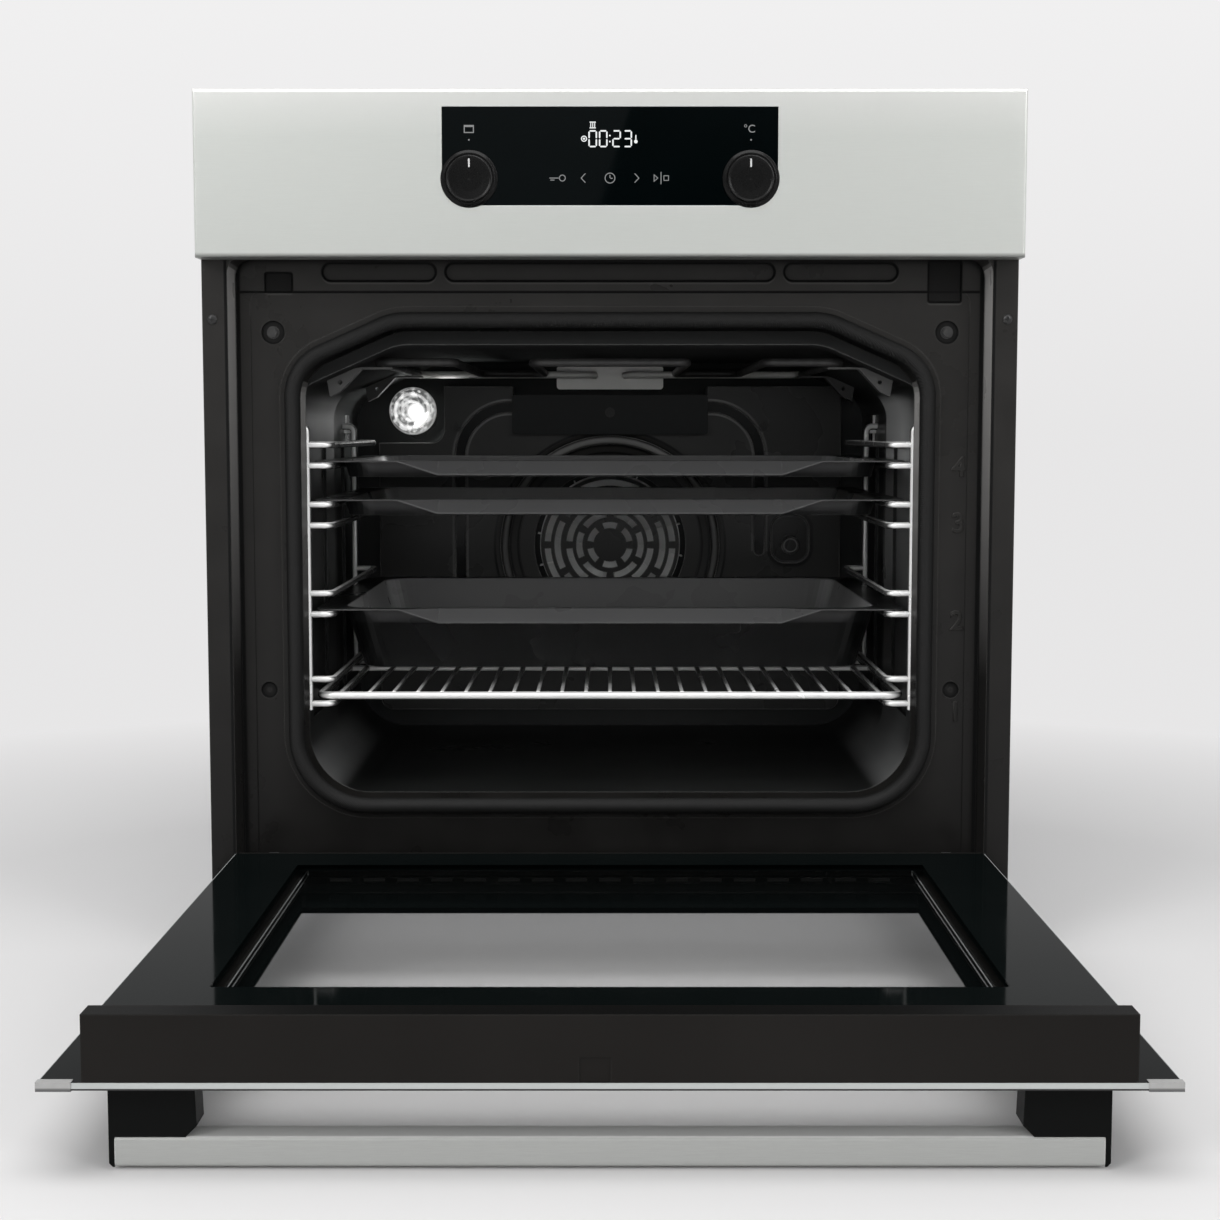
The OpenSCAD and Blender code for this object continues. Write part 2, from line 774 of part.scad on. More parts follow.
module convection_fan() {
    color("#b7b9ba") at_front() {
        pin_f(0, fan_h, fan_front, rear_wall_f + 48, 2 * fan_shaft_r);
        pin_f(0, fan_h, fan_front, fan_front + fan_depth, 20);
        translate([0, fan_front + fan_depth - 1, fan_h]) rotate([-90, 0, 0])
            cylinder(r = fan_r - 4, h = 1, $fn = 96);
        translate([0, fan_front, fan_h]) rotate([-90, 0, 0])
            for (i = [0 : fan_blades - 1])
                rotate([0, 0, i * 360 / fan_blades]) translate([24, -0.5, 1])
                    rotate([0, 0, 14]) cube([fan_r - 25, 1, fan_depth - 1.5]);
    }
}

module fan_motor() {
    color("#8d8f90") at_front() difference() {
        union() {
            pin_f(0, fan_h, rear_wall_f + 14, rear_wall_f + 46, 72);
            pin_f(0, fan_h, rear_wall_f + 8, rear_wall_f + 14, 26);
            pin_f(0, fan_h, rear_wall_f + 46, rear_wall_f + 52, 30);
            along_f(rear_wall_f + 12, rear_wall_f + 14) for (a = [90, 210, 330])
                translate([0, fan_h]) rotate([0, 0, a]) rect(0, -9, 62, 9);
            for (a = [90, 210, 330])
                translate([52 * cos(a), 0, fan_h + 52 * sin(a)])
                    pin_f(0, 0, rear_wall_f + liner_t, rear_wall_f + 13, 9);
        }
        pin_f(0, fan_h, rear_wall_f, rear_wall_f + 49, 2 * (fan_shaft_r + running));
    }
}

ring_f = 430;

module ring_heater() {
    lead_a = asin(ring_lead_x / ring_r);
    lead_h = fan_h + ring_r * cos(lead_a);
    color("#3a3a3b") at_front() {
        translate([0, ring_f, fan_h]) rotate([90, 0, 0]) rotate([0, 0, 90 + lead_a])
            rotate_extrude(angle = 360 - 2 * lead_a, $fn = 96)
                translate([ring_r, 0]) circle(d = heater_d, $fn = 24);
        for (x = [-ring_lead_x, ring_lead_x]) {
            pin_f(x, lead_h, ring_f - 4, rear_wall_f + 22, heater_d + 0.8);
            pin_f(x, lead_h, rear_wall_f + 22, rear_wall_f + 30, 4);
        }
        along_f(rear_wall_f - 1.5, rear_wall_f)
            round_rect(-26, lead_h - 9, 26, lead_h + 8, 4);
    }
}

module grill_element() {
    out_x = 176;
    front_f = 84;
    half = [[59, front_f], [59, 385], [118, 385], [118, front_f], [out_x, front_f],
            [out_x, grill_rear_f], [grill_lead_x, grill_rear_f],
            [grill_lead_x, rear_wall_f + 20]];
    color("#3a3a3b") at_front() {
        wire(concat([for (i = [7 : -1 : 0]) [-half[i][0], half[i][1], grill_h]],
                    [for (p = half) [p[0], p[1], grill_h]]), 12, heater_d);
        along_f(rear_wall_f - 2, rear_wall_f) round_rect(-50, 391, 50, 413, 3);
        for (x = [-grill_lead_x, grill_lead_x])
            pin_f(x, grill_h, rear_wall_f + 20, rear_wall_f + 28, 4);
    }
}

// Folded straps on the cavity shoulders that carry the grill's outer rods.
module grill_brackets() {
    low = grill_h - heater_d / 2 - gap;
    c = cavity[1];
    reach = c[0] * cos(shoulder_a) + c[1] * sin(shoulder_a) + c[2] - gap;
    under_slope = function (x) (reach - x * cos(shoulder_a)) / sin(shoulder_a);
    color("#2a2a2b") at_front() both_sides() for (f = [88, 330])
        along_f(f, f + 12) difference() {
            polygon([[166, low - 1.5], [190, low - 1.5], [206, 382], [214, 378],
                     [216, under_slope(216)], [194, under_slope(194)], [188, low],
                     [166, low]]);
            translate([206, 389]) circle(r = 1.6, $fn = 24);
        }
}

module base_heater() {
    h = cavity_floor - liner_t - heater_d / 2 - gap;
    rows = [[-160, 110], [-160, 380], [-96, 380], [-96, 110], [-32, 110], [-32, 380],
            [32, 380], [32, 110], [96, 110], [96, 380], [160, 380], [160, 110]];
    color("#3a3a3b") at_front() {
        wire([for (p = rows) [p[0], p[1], h]], 14, heater_d);
        for (x = [-160, 160]) {
            bar([x, 110, h], [x, 96, h], 4);
            along_f(100, 102) rect(x - 9, h - 6, x + 9, h + 3);
        }
    }
}

module lamp_housing() {
    color("#b9b6ab") at_front() difference() {
        union() {
            pin_f(lamp_x, lamp_h, rear_wall_f + liner_t, rear_wall_f + 34, 2 * lamp_r);
            pin_f(lamp_x, lamp_h, rear_wall_f + 34, rear_wall_f + 48, 26);
            along_f(rear_wall_f + liner_t, rear_wall_f + liner_t + 1.5)
                translate([lamp_x, lamp_h]) rotate([0, 0, 45]) rect(-30, -30, 30, 30);
        }
        pin_f(lamp_x, lamp_h, rear_wall_f, rear_wall_f + 32, 2 * (lamp_r - 3));
        pin_f(lamp_x, lamp_h, rear_wall_f + 31, rear_wall_f + 44, 10);
    }
}

module lamp_glass() {
    color([0.92, 0.94, 0.95, 0.5]) at_front()
        translate([lamp_x, rear_wall_f, lamp_h]) rotate([90, 0, 0])
            rotate_extrude($fn = 96) polygon([
                [0, 13], [9, 12.6], [15, 11], [19.5, 8], [21.6, 4], [lamp_r, 0],
                [19.6, 0], [18.4, 4], [16.6, 7], [13, 9.4], [8, 10.9], [0, 11.3]]);
}

module lamp_bulb() {
    color([1, 0.95, 0.8, 0.8]) at_front() translate([lamp_x, rear_wall_f, lamp_h])
        rotate([-90, 0, 0]) rotate_extrude($fn = 48) polygon([
            [0, -2], [3.4, -0.6], [5, 3], [5, 20], [6.5, 23], [6.5, 31.5], [4, 32],
            [4, 42], [0, 42]]);
}

// ---------------------------------------------------------------- side guides

guide_x = 228;
guide_front = 60;
guide_mid = 338;
guide_low = 141;
guide_high = 356;
rung_x = 210;

// Bent wire side guide: two uprights hooked into the side wall and eight welded rungs.
module guide() {
    color(chrome) at_front() {
        for (f = [guide_front, guide_mid])
            wire([[cavity_half_w - gap, f, guide_high], [guide_x, f, guide_high],
                  [guide_x, f, guide_low]], 5, guide_d);
        for (h = rungs)
            wire([[guide_x, guide_front, h], [rung_x, guide_front, h],
                  [rung_x, guide_mid, h], [guide_x, guide_mid, h]], 7, rung_d);
    }
}

module guide_right() guide();
module guide_left() mirror([1, 0, 0]) guide();

// Clips on the cavity sides: an upright plate near the back and a long one low down.
module guide_fixings() {
    reach = cavity_half_w - gap;
    inner = guide_x + guide_d / 2 + gap;
    color(chrome) at_front() both_sides() {
        translate([reach - 2, 354, 341]) cube([2, 12, 25]);
        translate([inner, 344, 350]) cube([reach - inner, 16, 3]);
        translate([reach - 4, 205, 131]) cube([4, 60, 7]);
    }
}

// ---------------------------------------------------------------- trays

tray_front = 61;
rim_t = 1;
tray_t = 1;
tray_wall_x = 205;
lip_dip = 10;

// A pressed tray: tapered pan, flat rim, and a grip bent down in the front rim.
module tray(rung, depth) {
    rim_h = rung + rung_d / 2 + gap;
    back = tray_front + tray_len;
    f0 = tray_front + 14;
    f1 = back - 14;
    taper = depth * 0.28;
    at_front() {
        difference() {
            union() {
                along_h(rim_h, rim_h + rim_t) difference() {
                    round_rect(-tray_half_w, tray_front, tray_half_w, back, 16);
                    rect(-grip_out, tray_front - 1, grip_out, f0 - 2);
                }
                hull() {
                    along_h(rim_h, rim_h + rim_t)
                        round_rect(-tray_wall_x, f0 - 1, tray_wall_x, f1 + 1, 26);
                    along_h(rim_h + rim_t - depth, rim_h + 2 * rim_t - depth)
                        round_rect(-tray_wall_x + taper, f0 + taper, tray_wall_x - taper,
                                   f1 - taper, 22);
                }
            }
            hull() {
                along_h(rim_h, rim_h + rim_t + eps)
                    round_rect(tray_t - tray_wall_x, f0 - 1 + tray_t,
                               tray_wall_x - tray_t, f1 + 1 - tray_t, 25);
                along_h(rim_h + 2 * rim_t - depth, rim_h + 3 * rim_t - depth)
                    round_rect(tray_t - tray_wall_x + taper, f0 + taper + tray_t,
                               tray_wall_x - taper - tray_t, f1 - taper - tray_t, 21);
            }
            along_h(rim_h + rim_t, rim_h + 5) rect(-300, 0, 300, 500);
        }
        translate([0, 0, rim_h]) {
            along_x(-grip_in, grip_in) polygon([
                [f0 - 2, 0], [f0, 0], [f0, rim_t], [f0 - 3, rim_t],
                [tray_front, rim_t - lip_dip], [tray_front, -lip_dip],
                [f0 - 4, -0.8]]);
            both_sides() hull() {
                along_x(grip_in - eps, grip_in) polygon([
                    [f0 - 2, 0], [f0 - 2, rim_t], [tray_front, rim_t - lip_dip],
                    [tray_front, -lip_dip]]);
                along_x(grip_out - eps, grip_out) rect(tray_front, 0, f0 - 2, rim_t);
            }
        }
    }
}

grip_in = 130;
grip_out = 161;

module tray_upper() color("#2b2b2c") tray(rungs[1], shallow_depth);
module tray_lower() color("#2b2b2c") tray(rungs[2], shallow_depth);
module deep_pan() color("#2b2b2c") tray(rungs[5], deep_depth);

shelf_rod = 6;
shelf_bar = 4;
shelf_pitch = 18.3;

// Wire shelf: a bent frame, long bars welded across it and two cross stays below.
module wire_shelf() {
    h = rungs[7] + rung_d / 2 + shelf_rod / 2 + gap;
    back = tray_front + tray_len;
    x = tray_half_w - shelf_rod / 2;
    mid = (tray_front + back) / 2;
    color(chrome) at_front() {
        wire([[0, tray_front + 3, h], [x, tray_front + 3, h], [x, back - 3, h],
              [-x, back - 3, h], [-x, tray_front + 3, h], [0, tray_front + 3, h]],
             10, shelf_rod);
        for (i = [-(shelf_bars - 1) / 2 : (shelf_bars - 1) / 2])
            bar([i * shelf_pitch, tray_front + 3, h + 1.6],
                [i * shelf_pitch, back - 3, h + 1.6], shelf_bar);
        for (f = [mid + 10, mid + 95])
            bar([-x, f, h], [x, f, h], 5);
        both_sides() bar([x - 15, tray_front + 3, h], [x - 15, back - 3, h], 5);
    }
}

// ---------------------------------------------------------------- housing

wool_half_w = cavity_half_w + 32;

module insulation() {
    color("#d9cfa6") at_front() difference() {
        along_f(plate_back + 14, rear_wall_f - 2)
            round_rect(-wool_half_w, cavity_floor - 32, wool_half_w, cavity_top + 39, 30);
        along_f(plate_back, rear_wall_f) arc_outline(cavity, rib + gap);
        translate([-185, 92, cavity_floor - 20]) cube([370, 306, 20]);
    }
}

module casing_wrap() {
    color(zinc) at_front() difference() {
        along_f(plate_back, back_f - casing_t) difference() {
            rect(-casing_half_w, housing_bottom, casing_half_w, housing_top - casing_t);
            rect(casing_t - casing_half_w, housing_bottom + casing_t,
                 casing_half_w - casing_t, housing_top);
        }
        for (x = [-180 : 60 : 180], f = [180, 400])
            translate([x - 16, f, housing_bottom - 1]) cube([32, 4, 4]);
        for (f = [420 : 14 : 518], x = [-casing_half_w - 1, casing_half_w - casing_t - 1])
            translate([x, f, housing_top - 80]) cube([casing_t + 2, 5, 44]);
    }
}

module top_cover() {
    color(zinc) at_front() difference() {
        union() {
            translate([-casing_half_w, plate_back, housing_top - casing_t])
                cube([housing_w, back_f - casing_t - plate_back, casing_t]);
            translate([-150, plate_back + 50, housing_top - casing_t - 2])
                cube([300, 8, 2]);
        }
        for (x = [-120 : 16 : 120])
            translate([x - 4, 400, housing_top - 4]) cube([8, 70, 6]);
    }
}

terminal_x = 205;
terminal_h = housing_top - 40;

module rear_cover() {
    color(zinc) at_front() difference() {
        union() {
            along_f(back_f - casing_t, back_f)
                rect(-casing_half_w, housing_bottom, casing_half_w, housing_top);
            along_f(back_f - 5, back_f - casing_t) difference() {
                rect(-250, 60, 250, 470);
                rect(-249, 61, 249, 469);
            }
        }
        along_f(back_f - 2, back_f + 1) {
            rect(terminal_x - 34, terminal_h - 22, terminal_x + 34, terminal_h + 22);
            for (h = [120 : 12 : 216], x = [-150, 0, 150])
                round_rect(x - 45, h, x + 45, h + 5, 2.4);
            for (i = [0 : 5], x = [-110, 0])
                round_rect(x - 45, terminal_h - 30 + 10 * i, x + 45,
                           terminal_h - 26 + 10 * i, 1.9);
        }
    }
}

duct_h = recess_top + 2.5;
duct_half_w = 190;
blower_f = 440;

// Cooling channel: a long tray to the back and a lid over its front part.
module air_duct() {
    t = casing_t;
    color(zinc) at_front() difference() {
        union() {
            translate([-duct_half_w, flange_f + frame_t + gap, duct_h])
                cube([2 * duct_half_w, 318, 20]);
            translate([-duct_half_w, 330, duct_h])
                cube([2 * duct_half_w, back_f - casing_t - 330, 12]);
        }
        translate([t - duct_half_w, flange_f + frame_t + gap + t, duct_h + t])
            cube([2 * duct_half_w - 2 * t, 400, 20 - 2 * t]);
        translate([t - duct_half_w, 345, duct_h + t])
            cube([2 * duct_half_w - 2 * t, back_f - casing_t - t - 345, 30]);
        // outlet above the vents of the frame
        translate([t - duct_half_w, flange_f + 6, duct_h - 1])
            cube([2 * duct_half_w - 2 * t, 14, 4]);
        // inlet below the blower
        translate([0, blower_f, duct_h - 1]) cylinder(r = 42, h = 4, $fn = 64);
    }
}

blower_r = 66;
scroll_r = 80;
scroll_h = 46;

module blower_housing() {
    h0 = duct_h + casing_t;
    color("#9b9ea0") at_front() difference() {
        union() {
            translate([0, blower_f, h0]) cylinder(r = scroll_r, h = scroll_h, $fn = 96);
            translate([-scroll_r, blower_f - 92, h0]) cube([110, 92, 17.5]);
            translate([-scroll_r, blower_f - 40, h0]) cube([60, 40, scroll_h]);
        }
        translate([0, blower_f, h0 + 1])
            cylinder(r = scroll_r - 1.2, h = scroll_h - 2, $fn = 96);
        translate([1.2 - scroll_r, blower_f - 93, h0 + 1]) cube([107.6, 92, 15.5]);
        translate([1.2 - scroll_r, blower_f - 38.8, h0 + 1]) cube([56, 40, scroll_h - 2]);
        translate([0, blower_f, h0 - 1]) cylinder(r = 42, h = 4, $fn = 64);
        translate([0, blower_f, h0 + scroll_h - 2]) cylinder(r = 8, h = 4, $fn = 48);
    }
}

module blower_rotor() {
    h0 = duct_h + casing_t + 4;
    color("#55585a") at_front() translate([0, blower_f, h0]) {
        cylinder(r = 3, h = 62, $fn = 32);
        cylinder(r = 9, h = 34, $fn = 48);
        translate([0, 0, 32]) cylinder(r = blower_r, h = 1.5, $fn = 96);
        difference() {
            cylinder(r = blower_r, h = 1.5, $fn = 96);
            translate([0, 0, -1]) cylinder(r = 48, h = 4, $fn = 96);
        }
        for (i = [0 : 23])
            rotate([0, 0, i * 15]) translate([50, 0, 0])
                rotate([0, 0, 35]) cube([16, 1, 33]);
    }
}

module blower_motor() {
    h0 = duct_h + casing_t + scroll_h;
    color("#8d8f90") at_front() translate([0, blower_f, h0]) difference() {
        union() {
            cylinder(r = 32, h = 20, $fn = 64);
            translate([-40, -7, 0]) cube([80, 14, 3]);
            translate([0, 0, 20]) cylinder(r = 12, h = 6, $fn = 48);
        }
        translate([0, 0, -1]) cylinder(r = 3 + running, h = 24, $fn = 48);
    }
}

module terminal_box() {
    color("#e4e2da") at_front() difference() {
        union() {
            along_f(back_f - 34, back_f)
                rect(terminal_x - 33.6, terminal_h - 21.6, terminal_x + 33.6,
                     terminal_h + 21.6);
            along_f(back_f, back_f + 2)
                round_rect(terminal_x - 38, terminal_h - 26, terminal_x + 38,
                           terminal_h + 26, 4);
        }
        pin_f(terminal_x - 18, terminal_h - 8, back_f - 30, back_f + 3, 11);
        along_f(back_f + 1.2, back_f + 3)
            rect(terminal_x - 4, terminal_h - 14, terminal_x + 30, terminal_h + 14);
    }
}

// ---------------------------------------------------------------- hinges

cheek_x = 4;
arm_half = cheek_x - slide_gap;
channel_back = 230;
channel_low = 12;
channel_high = 36;
nose_r = 6.4;
link_f = 66;
link_travel = 14;
spring_front = 74;
spring_r = 6.6;
spring_wire = 1.8;
spring_turns = 12;
spring_len = 96;

// Folded steel channel behind the frame, its two cheeks carrying the pin out to the front.
module hinge_channel(x) {
    color("#7f8385") at_front() difference() {
        union() {
            for (s = [-1, 1]) {
                along_x(x + s * cheek_x - (s < 0 ? 1.5 : 0), x + s * cheek_x + (s < 0 ? 0 : 1.5)) {
                    rect(pivot_f, pivot_h - nose_r, plate_back + 14, pivot_h + nose_r);
                    translate([pivot_f, pivot_h]) circle(r = nose_r, $fn = 48);
                    polygon([[plate_back + gap, pivot_h - nose_r],
                             [plate_back + 8, channel_low], [plate_back + 8, channel_high],
                             [plate_back + gap, pivot_h + nose_r]]);
                }
                along_x(x + s * 8.5 - 0.75, x + s * 8.5 + 0.75)
                    rect(plate_back + 8, channel_low, channel_back, channel_high);
            }
            along_x(x - 9.25, x + 9.25) {
                rect(plate_back + 8, channel_low, channel_back, channel_low + 1.5);
                rect(channel_back - 1.5, channel_low, channel_back, channel_high);
            }
            // front stop of the spring, with the rod's hole
            difference() {
                along_x(x - 9.25, x + 9.25)
                    rect(spring_front - 1.8, channel_low, spring_front, channel_high);
                pin_f(x, pivot_h + 1, spring_front - 3, spring_front + 1, 4.4);
            }
            along_x(x - 9.25, x + 9.25)
                rect(plate_back + 8, channel_low, plate_back + 9.5, pivot_h - nose_r - 1);
            for (f = [channel_back - 40])
                translate([x - 9.25, f, housing_bottom + casing_t])
                    cube([18.5, 12, channel_low - housing_bottom - casing_t]);
        }
        translate([x - 10, pivot_f, pivot_h]) rotate([0, 90, 0])
            cylinder(d = hinge_pin_d, h = 20, $fn = 48);
    }
}

module hinge_channel_left() hinge_channel(-hinge_x);
module hinge_channel_right() hinge_channel(hinge_x);

module hinge_pins() {
    color("#d0d2d3") at_front() for (x = [-hinge_x, hinge_x])
        translate([x - cheek_x - 2.6, pivot_f, pivot_h]) rotate([0, 90, 0]) {
            cylinder(d = hinge_pin_d, h = 2 * cheek_x + 5.2, $fn = 48);
            cylinder(d = hinge_pin_d + 3, h = 1, $fn = 48);
            translate([0, 0, 2 * cheek_x + 4.2])
                cylinder(d = hinge_pin_d + 3, h = 1, $fn = 48);
        }
}

// A coil wound round the f axis, as rings of points swept along a helix.
module coil(turns, length, r, wire_r) {
    steps = 12;
    sides = 6;
    n = turns * steps;
    function ring(i) = let (a = i * 360 / steps, c = [r * cos(a), i * length / n, r * sin(a)])
        [for (k = [0 : sides - 1]) let (b = k * 360 / sides)
            c + wire_r * [cos(b) * cos(a), sin(b), cos(b) * sin(a)]];
    points = [for (i = [0 : n]) each ring(i)];
    walls = [for (i = [0 : n - 1], k = [0 : sides - 1])
        let (a = i * sides + k, b = i * sides + (k + 1) % sides)
        [[a, b, b + sides], [a, b + sides, a + sides]]];
    polyhedron(points, concat([for (w = walls) each w],
        [[for (k = [sides - 1 : -1 : 0]) k], [for (k = [0 : sides - 1]) n * sides + k]]));
}

module hinge_springs() {
    color("#b5b8ba") at_front() for (x = [-hinge_x, hinge_x])
        translate([x, spring_front + spring_wire / 2 + gap, pivot_h + 1])
            coil(spring_turns, spring_len - spring_wire - gap, spring_r - spring_wire / 2 - 0.6,
                 spring_wire / 2);
}

// The pull rods that run through the springs, each with a washer at its rear end.
module hinge_links() {
    color("#c3c6c8") at_front() for (x = [-hinge_x, hinge_x]) {
        pin_f(x, pivot_h + 1, link_f - 6, spring_front + spring_len + 8, 4);
        pin_f(x, pivot_h + 1, spring_front + spring_len, spring_front + spring_len + 2.5, 13);
        pin_f(x, pivot_h + 1, spring_front + spring_len + 2.5, spring_front + spring_len + 6, 7);
    }
}

// ---------------------------------------------------------------- door

window_x = 222.5;
window_low = 79.5;
window_high = 393;
inner_low = 40;
trim_h = 17.5;
trim_depth = 40.2;
rail_in = 227;
rail_out = 272;
rail_low = 34;
rail_t = 1.2;
inner_face = door_depth - inner_glass_t;

module door_outer_glass() {
    color([0.06, 0.07, 0.07, 0.9]) door_open() along_f(0, outer_glass_t)
        round_rect(-half_w, door_bottom, half_w, door_top, 2);
}

module door_inner_glass() {
    color([0.06, 0.07, 0.07, 0.85]) door_open() along_f(inner_face, door_depth)
        round_rect(-inner_half_w, inner_low, inner_half_w, door_top - trim_h - gap, 3);
}

middle_f = 17.5;

module door_middle_glass() {
    color([0.5, 0.55, 0.55, 0.4]) door_open() along_f(middle_f, middle_f + inner_glass_t)
        round_rect(gap - rail_in, 46, rail_in - gap, door_top - trim_h - gap, 2);
}

// Folded side rail that holds the glass panes apart and houses the hinge arm.
module door_rail() {
    top = door_top - trim_h - gap;
    difference() {
        along_f(outer_glass_t, inner_face) rect(rail_in, rail_low, rail_out, top);
        along_f(outer_glass_t - 1, inner_face - rail_t)
            rect(rail_in + rail_t, rail_low - 1, rail_out - rail_t, top - rail_t);
        for (h = [120 : 60 : 420])
            along_f(inner_face - 2, inner_face + 1) round_rect(244, h, 254, h + 26, 4);
    }
    // ledges that the middle glass lies between
    for (f = [middle_f - 1.6, middle_f + inner_glass_t + gap])
        along_f(f, f + 1.3) rect(rail_in - 6, 50, rail_in, top - 6);
}

module door_rail_right() color(matt_black) door_open() door_rail();
module door_rail_left() color(matt_black) door_open() mirror([1, 0, 0]) door_rail();

module door_bottom_rail() {
    color(matt_black) door_open() difference() {
        union() {
            along_x(gap - rail_in, rail_in - gap) difference() {
                rect(outer_glass_t, 20, inner_face, 45.5);
                rect(outer_glass_t + 1.2, 21.2, inner_face - 1.2, 46);
            }
            along_x(gap - rail_in, rail_in - gap) difference() {
                rect(middle_f - 1.5, 40, middle_f + inner_glass_t + 1.5, 49);
                rect(middle_f - gap, 45.7, middle_f + inner_glass_t + gap, 50);
            }
            along_x(gap - rail_in, rail_in - gap)
                rect(middle_f + 1, 21, middle_f + 2.2, 41);
            along_x(gap - inner_half_w + 2, inner_half_w - 2 - gap)
                rect(inner_face + gap, 37.4, door_depth, inner_low - gap);
            along_x(gap - rail_in, rail_in - gap)
                rect(inner_face - 1.2, 37.4, door_depth, inner_low - gap);
        }
        for (x = [-200 : 25 : 200])
            translate([x - 8, 7, 18]) cube([16, 8, 5]);
    }
}

trim_half_w = half_w - 23.3;

module door_top_trim() {
    color(matt_black) door_open() difference() {
        along_x(-trim_half_w, trim_half_w) difference() {
            rect(outer_glass_t, door_top - trim_h, trim_depth, door_top - 0.5);
            rect(outer_glass_t - 1, door_top - trim_h - 1, trim_depth - 2, door_top - 2.5);
        }
        // notch of the door lock
        translate([-16, outer_glass_t, door_top - 1.3]) cube([16.5, 13.5, 2]);
    }
}

module door_corner_caps() {
    cap = 18;
    color("#b8bab8") door_open() both_sides() difference() {
        translate([half_w - cap, -0.5, door_top - 5]) cube([cap + 0.5, outer_glass_t + 1, 5.5]);
        translate([half_w - cap - 1, -gap / 3, door_top - 6])
            cube([cap + 1.1, outer_glass_t + gap * 2 / 3, 6.1]);
    }
}

// Hinge arm with a knuckle on the pin, a tail for the pull rod and feet in the door rail.
module hinge_arm(x) {
    color("#8b8f91") door_open() difference() {
        along_x(x - arm_half, x + arm_half) {
            translate([pivot_f, pivot_h]) circle(r = nose_r - 0.2, $fn = 48);
            rect(pivot_f - 5, pivot_h, pivot_f + 5, 190);
            rect(pivot_f + 4, 96, inner_face - rail_t, 112);
            rect(pivot_f + 4, 160, inner_face - rail_t, 176);
            rect(outer_glass_t, 100, pivot_f, 108);
            rect(pivot_f, pivot_h - 4, pivot_f + link_travel, pivot_h + 4);
            translate([pivot_f + link_travel, pivot_h]) circle(r = 4, $fn = 32);
        }
        translate([x - 10, pivot_f + link_travel, pivot_h]) rotate([0, 90, 0])
            cylinder(d = 3.2, h = 20, $fn = 32);
        translate([x - 10, pivot_f, pivot_h]) rotate([0, 90, 0])
            cylinder(d = hinge_pin_d + 2 * running, h = 20, $fn = 48);
    }
}

module hinge_arm_left() hinge_arm(-hinge_x);
module hinge_arm_right() hinge_arm(hinge_x);

handle_h = door_top - handle_drop - bar_h;
bar_f = -handle_gap - bar_depth;
bracket_x = handle_half_w - bracket_w;
end_cap = 3;

module bar_section(inset = 0) {
    r = 2;
    round_rect(bar_f + inset, handle_h + inset, -handle_gap - inset,
               handle_h + bar_h - inset, r);
}

module handle_bar() {
    color("#c3c6c2") door_open() difference() {
        along_x(-handle_half_w + end_cap, handle_half_w - end_cap) bar_section();
        along_x(-handle_half_w, handle_half_w) translate([0, 0])
            round_rect(bar_f + 1.6, handle_h + 1.6, -handle_gap - 1.6,
                       handle_h + bar_h - 1.6, 1);
    }
}

// Black end brackets: a block from the glass to the bar, chamfered inside, with a cap
// closing the bar's end and a spigot inside it.
module handle_mounts() {
    color(matt_black) door_open() both_sides() {
        along_h(handle_h, handle_h + bar_h) polygon([
            [bracket_x + 1, 0], [handle_half_w, 0], [handle_half_w, bar_f + 2],
            [handle_half_w - 2, bar_f], [handle_half_w - end_cap, bar_f],
            [handle_half_w - end_cap, -handle_gap], [bracket_x + 6, -handle_gap],
            [bracket_x, -handle_gap + 6]]);
        along_x(handle_half_w - 24, handle_half_w - end_cap + 1)
            rect(bar_f + 2.4, handle_h + 2.4, -handle_gap - 2.4, handle_h + bar_h - 2.4);
    }
}

front_frame();
door_seal();
control_panel();
panel_glass();
panel_carrier();
display_board();
knob_rings();
function_switch();
temperature_switch();
function_spindle();
function_knob();
temperature_spindle();
temperature_knob();
cavity_liner();
cavity_rear_wall();
fan_cover();
vent_cover();
cavity_screws();
convection_fan();
fan_motor();
ring_heater();
grill_element();
grill_brackets();
base_heater();
lamp_housing();
lamp_glass();
lamp_bulb();
guide_left();
guide_right();
guide_fixings();
tray_upper();
tray_lower();
deep_pan();
wire_shelf();
insulation();
casing_wrap();
top_cover();
rear_cover();
air_duct();
blower_housing();
blower_rotor();
blower_motor();
terminal_box();
hinge_channel_left();
hinge_channel_right();
hinge_pins();
hinge_springs();
hinge_links();
door_outer_glass();
door_middle_glass();
door_inner_glass();
door_rail_left();
door_rail_right();
door_bottom_rail();
door_top_trim();
hinge_arm_left();
hinge_arm_right();
handle_bar();
handle_mounts();
door_corner_caps();
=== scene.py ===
# Built-in wall oven, dressed piece by piece from the front frame inwards to the housing.
from math import cos, pi, radians, sin

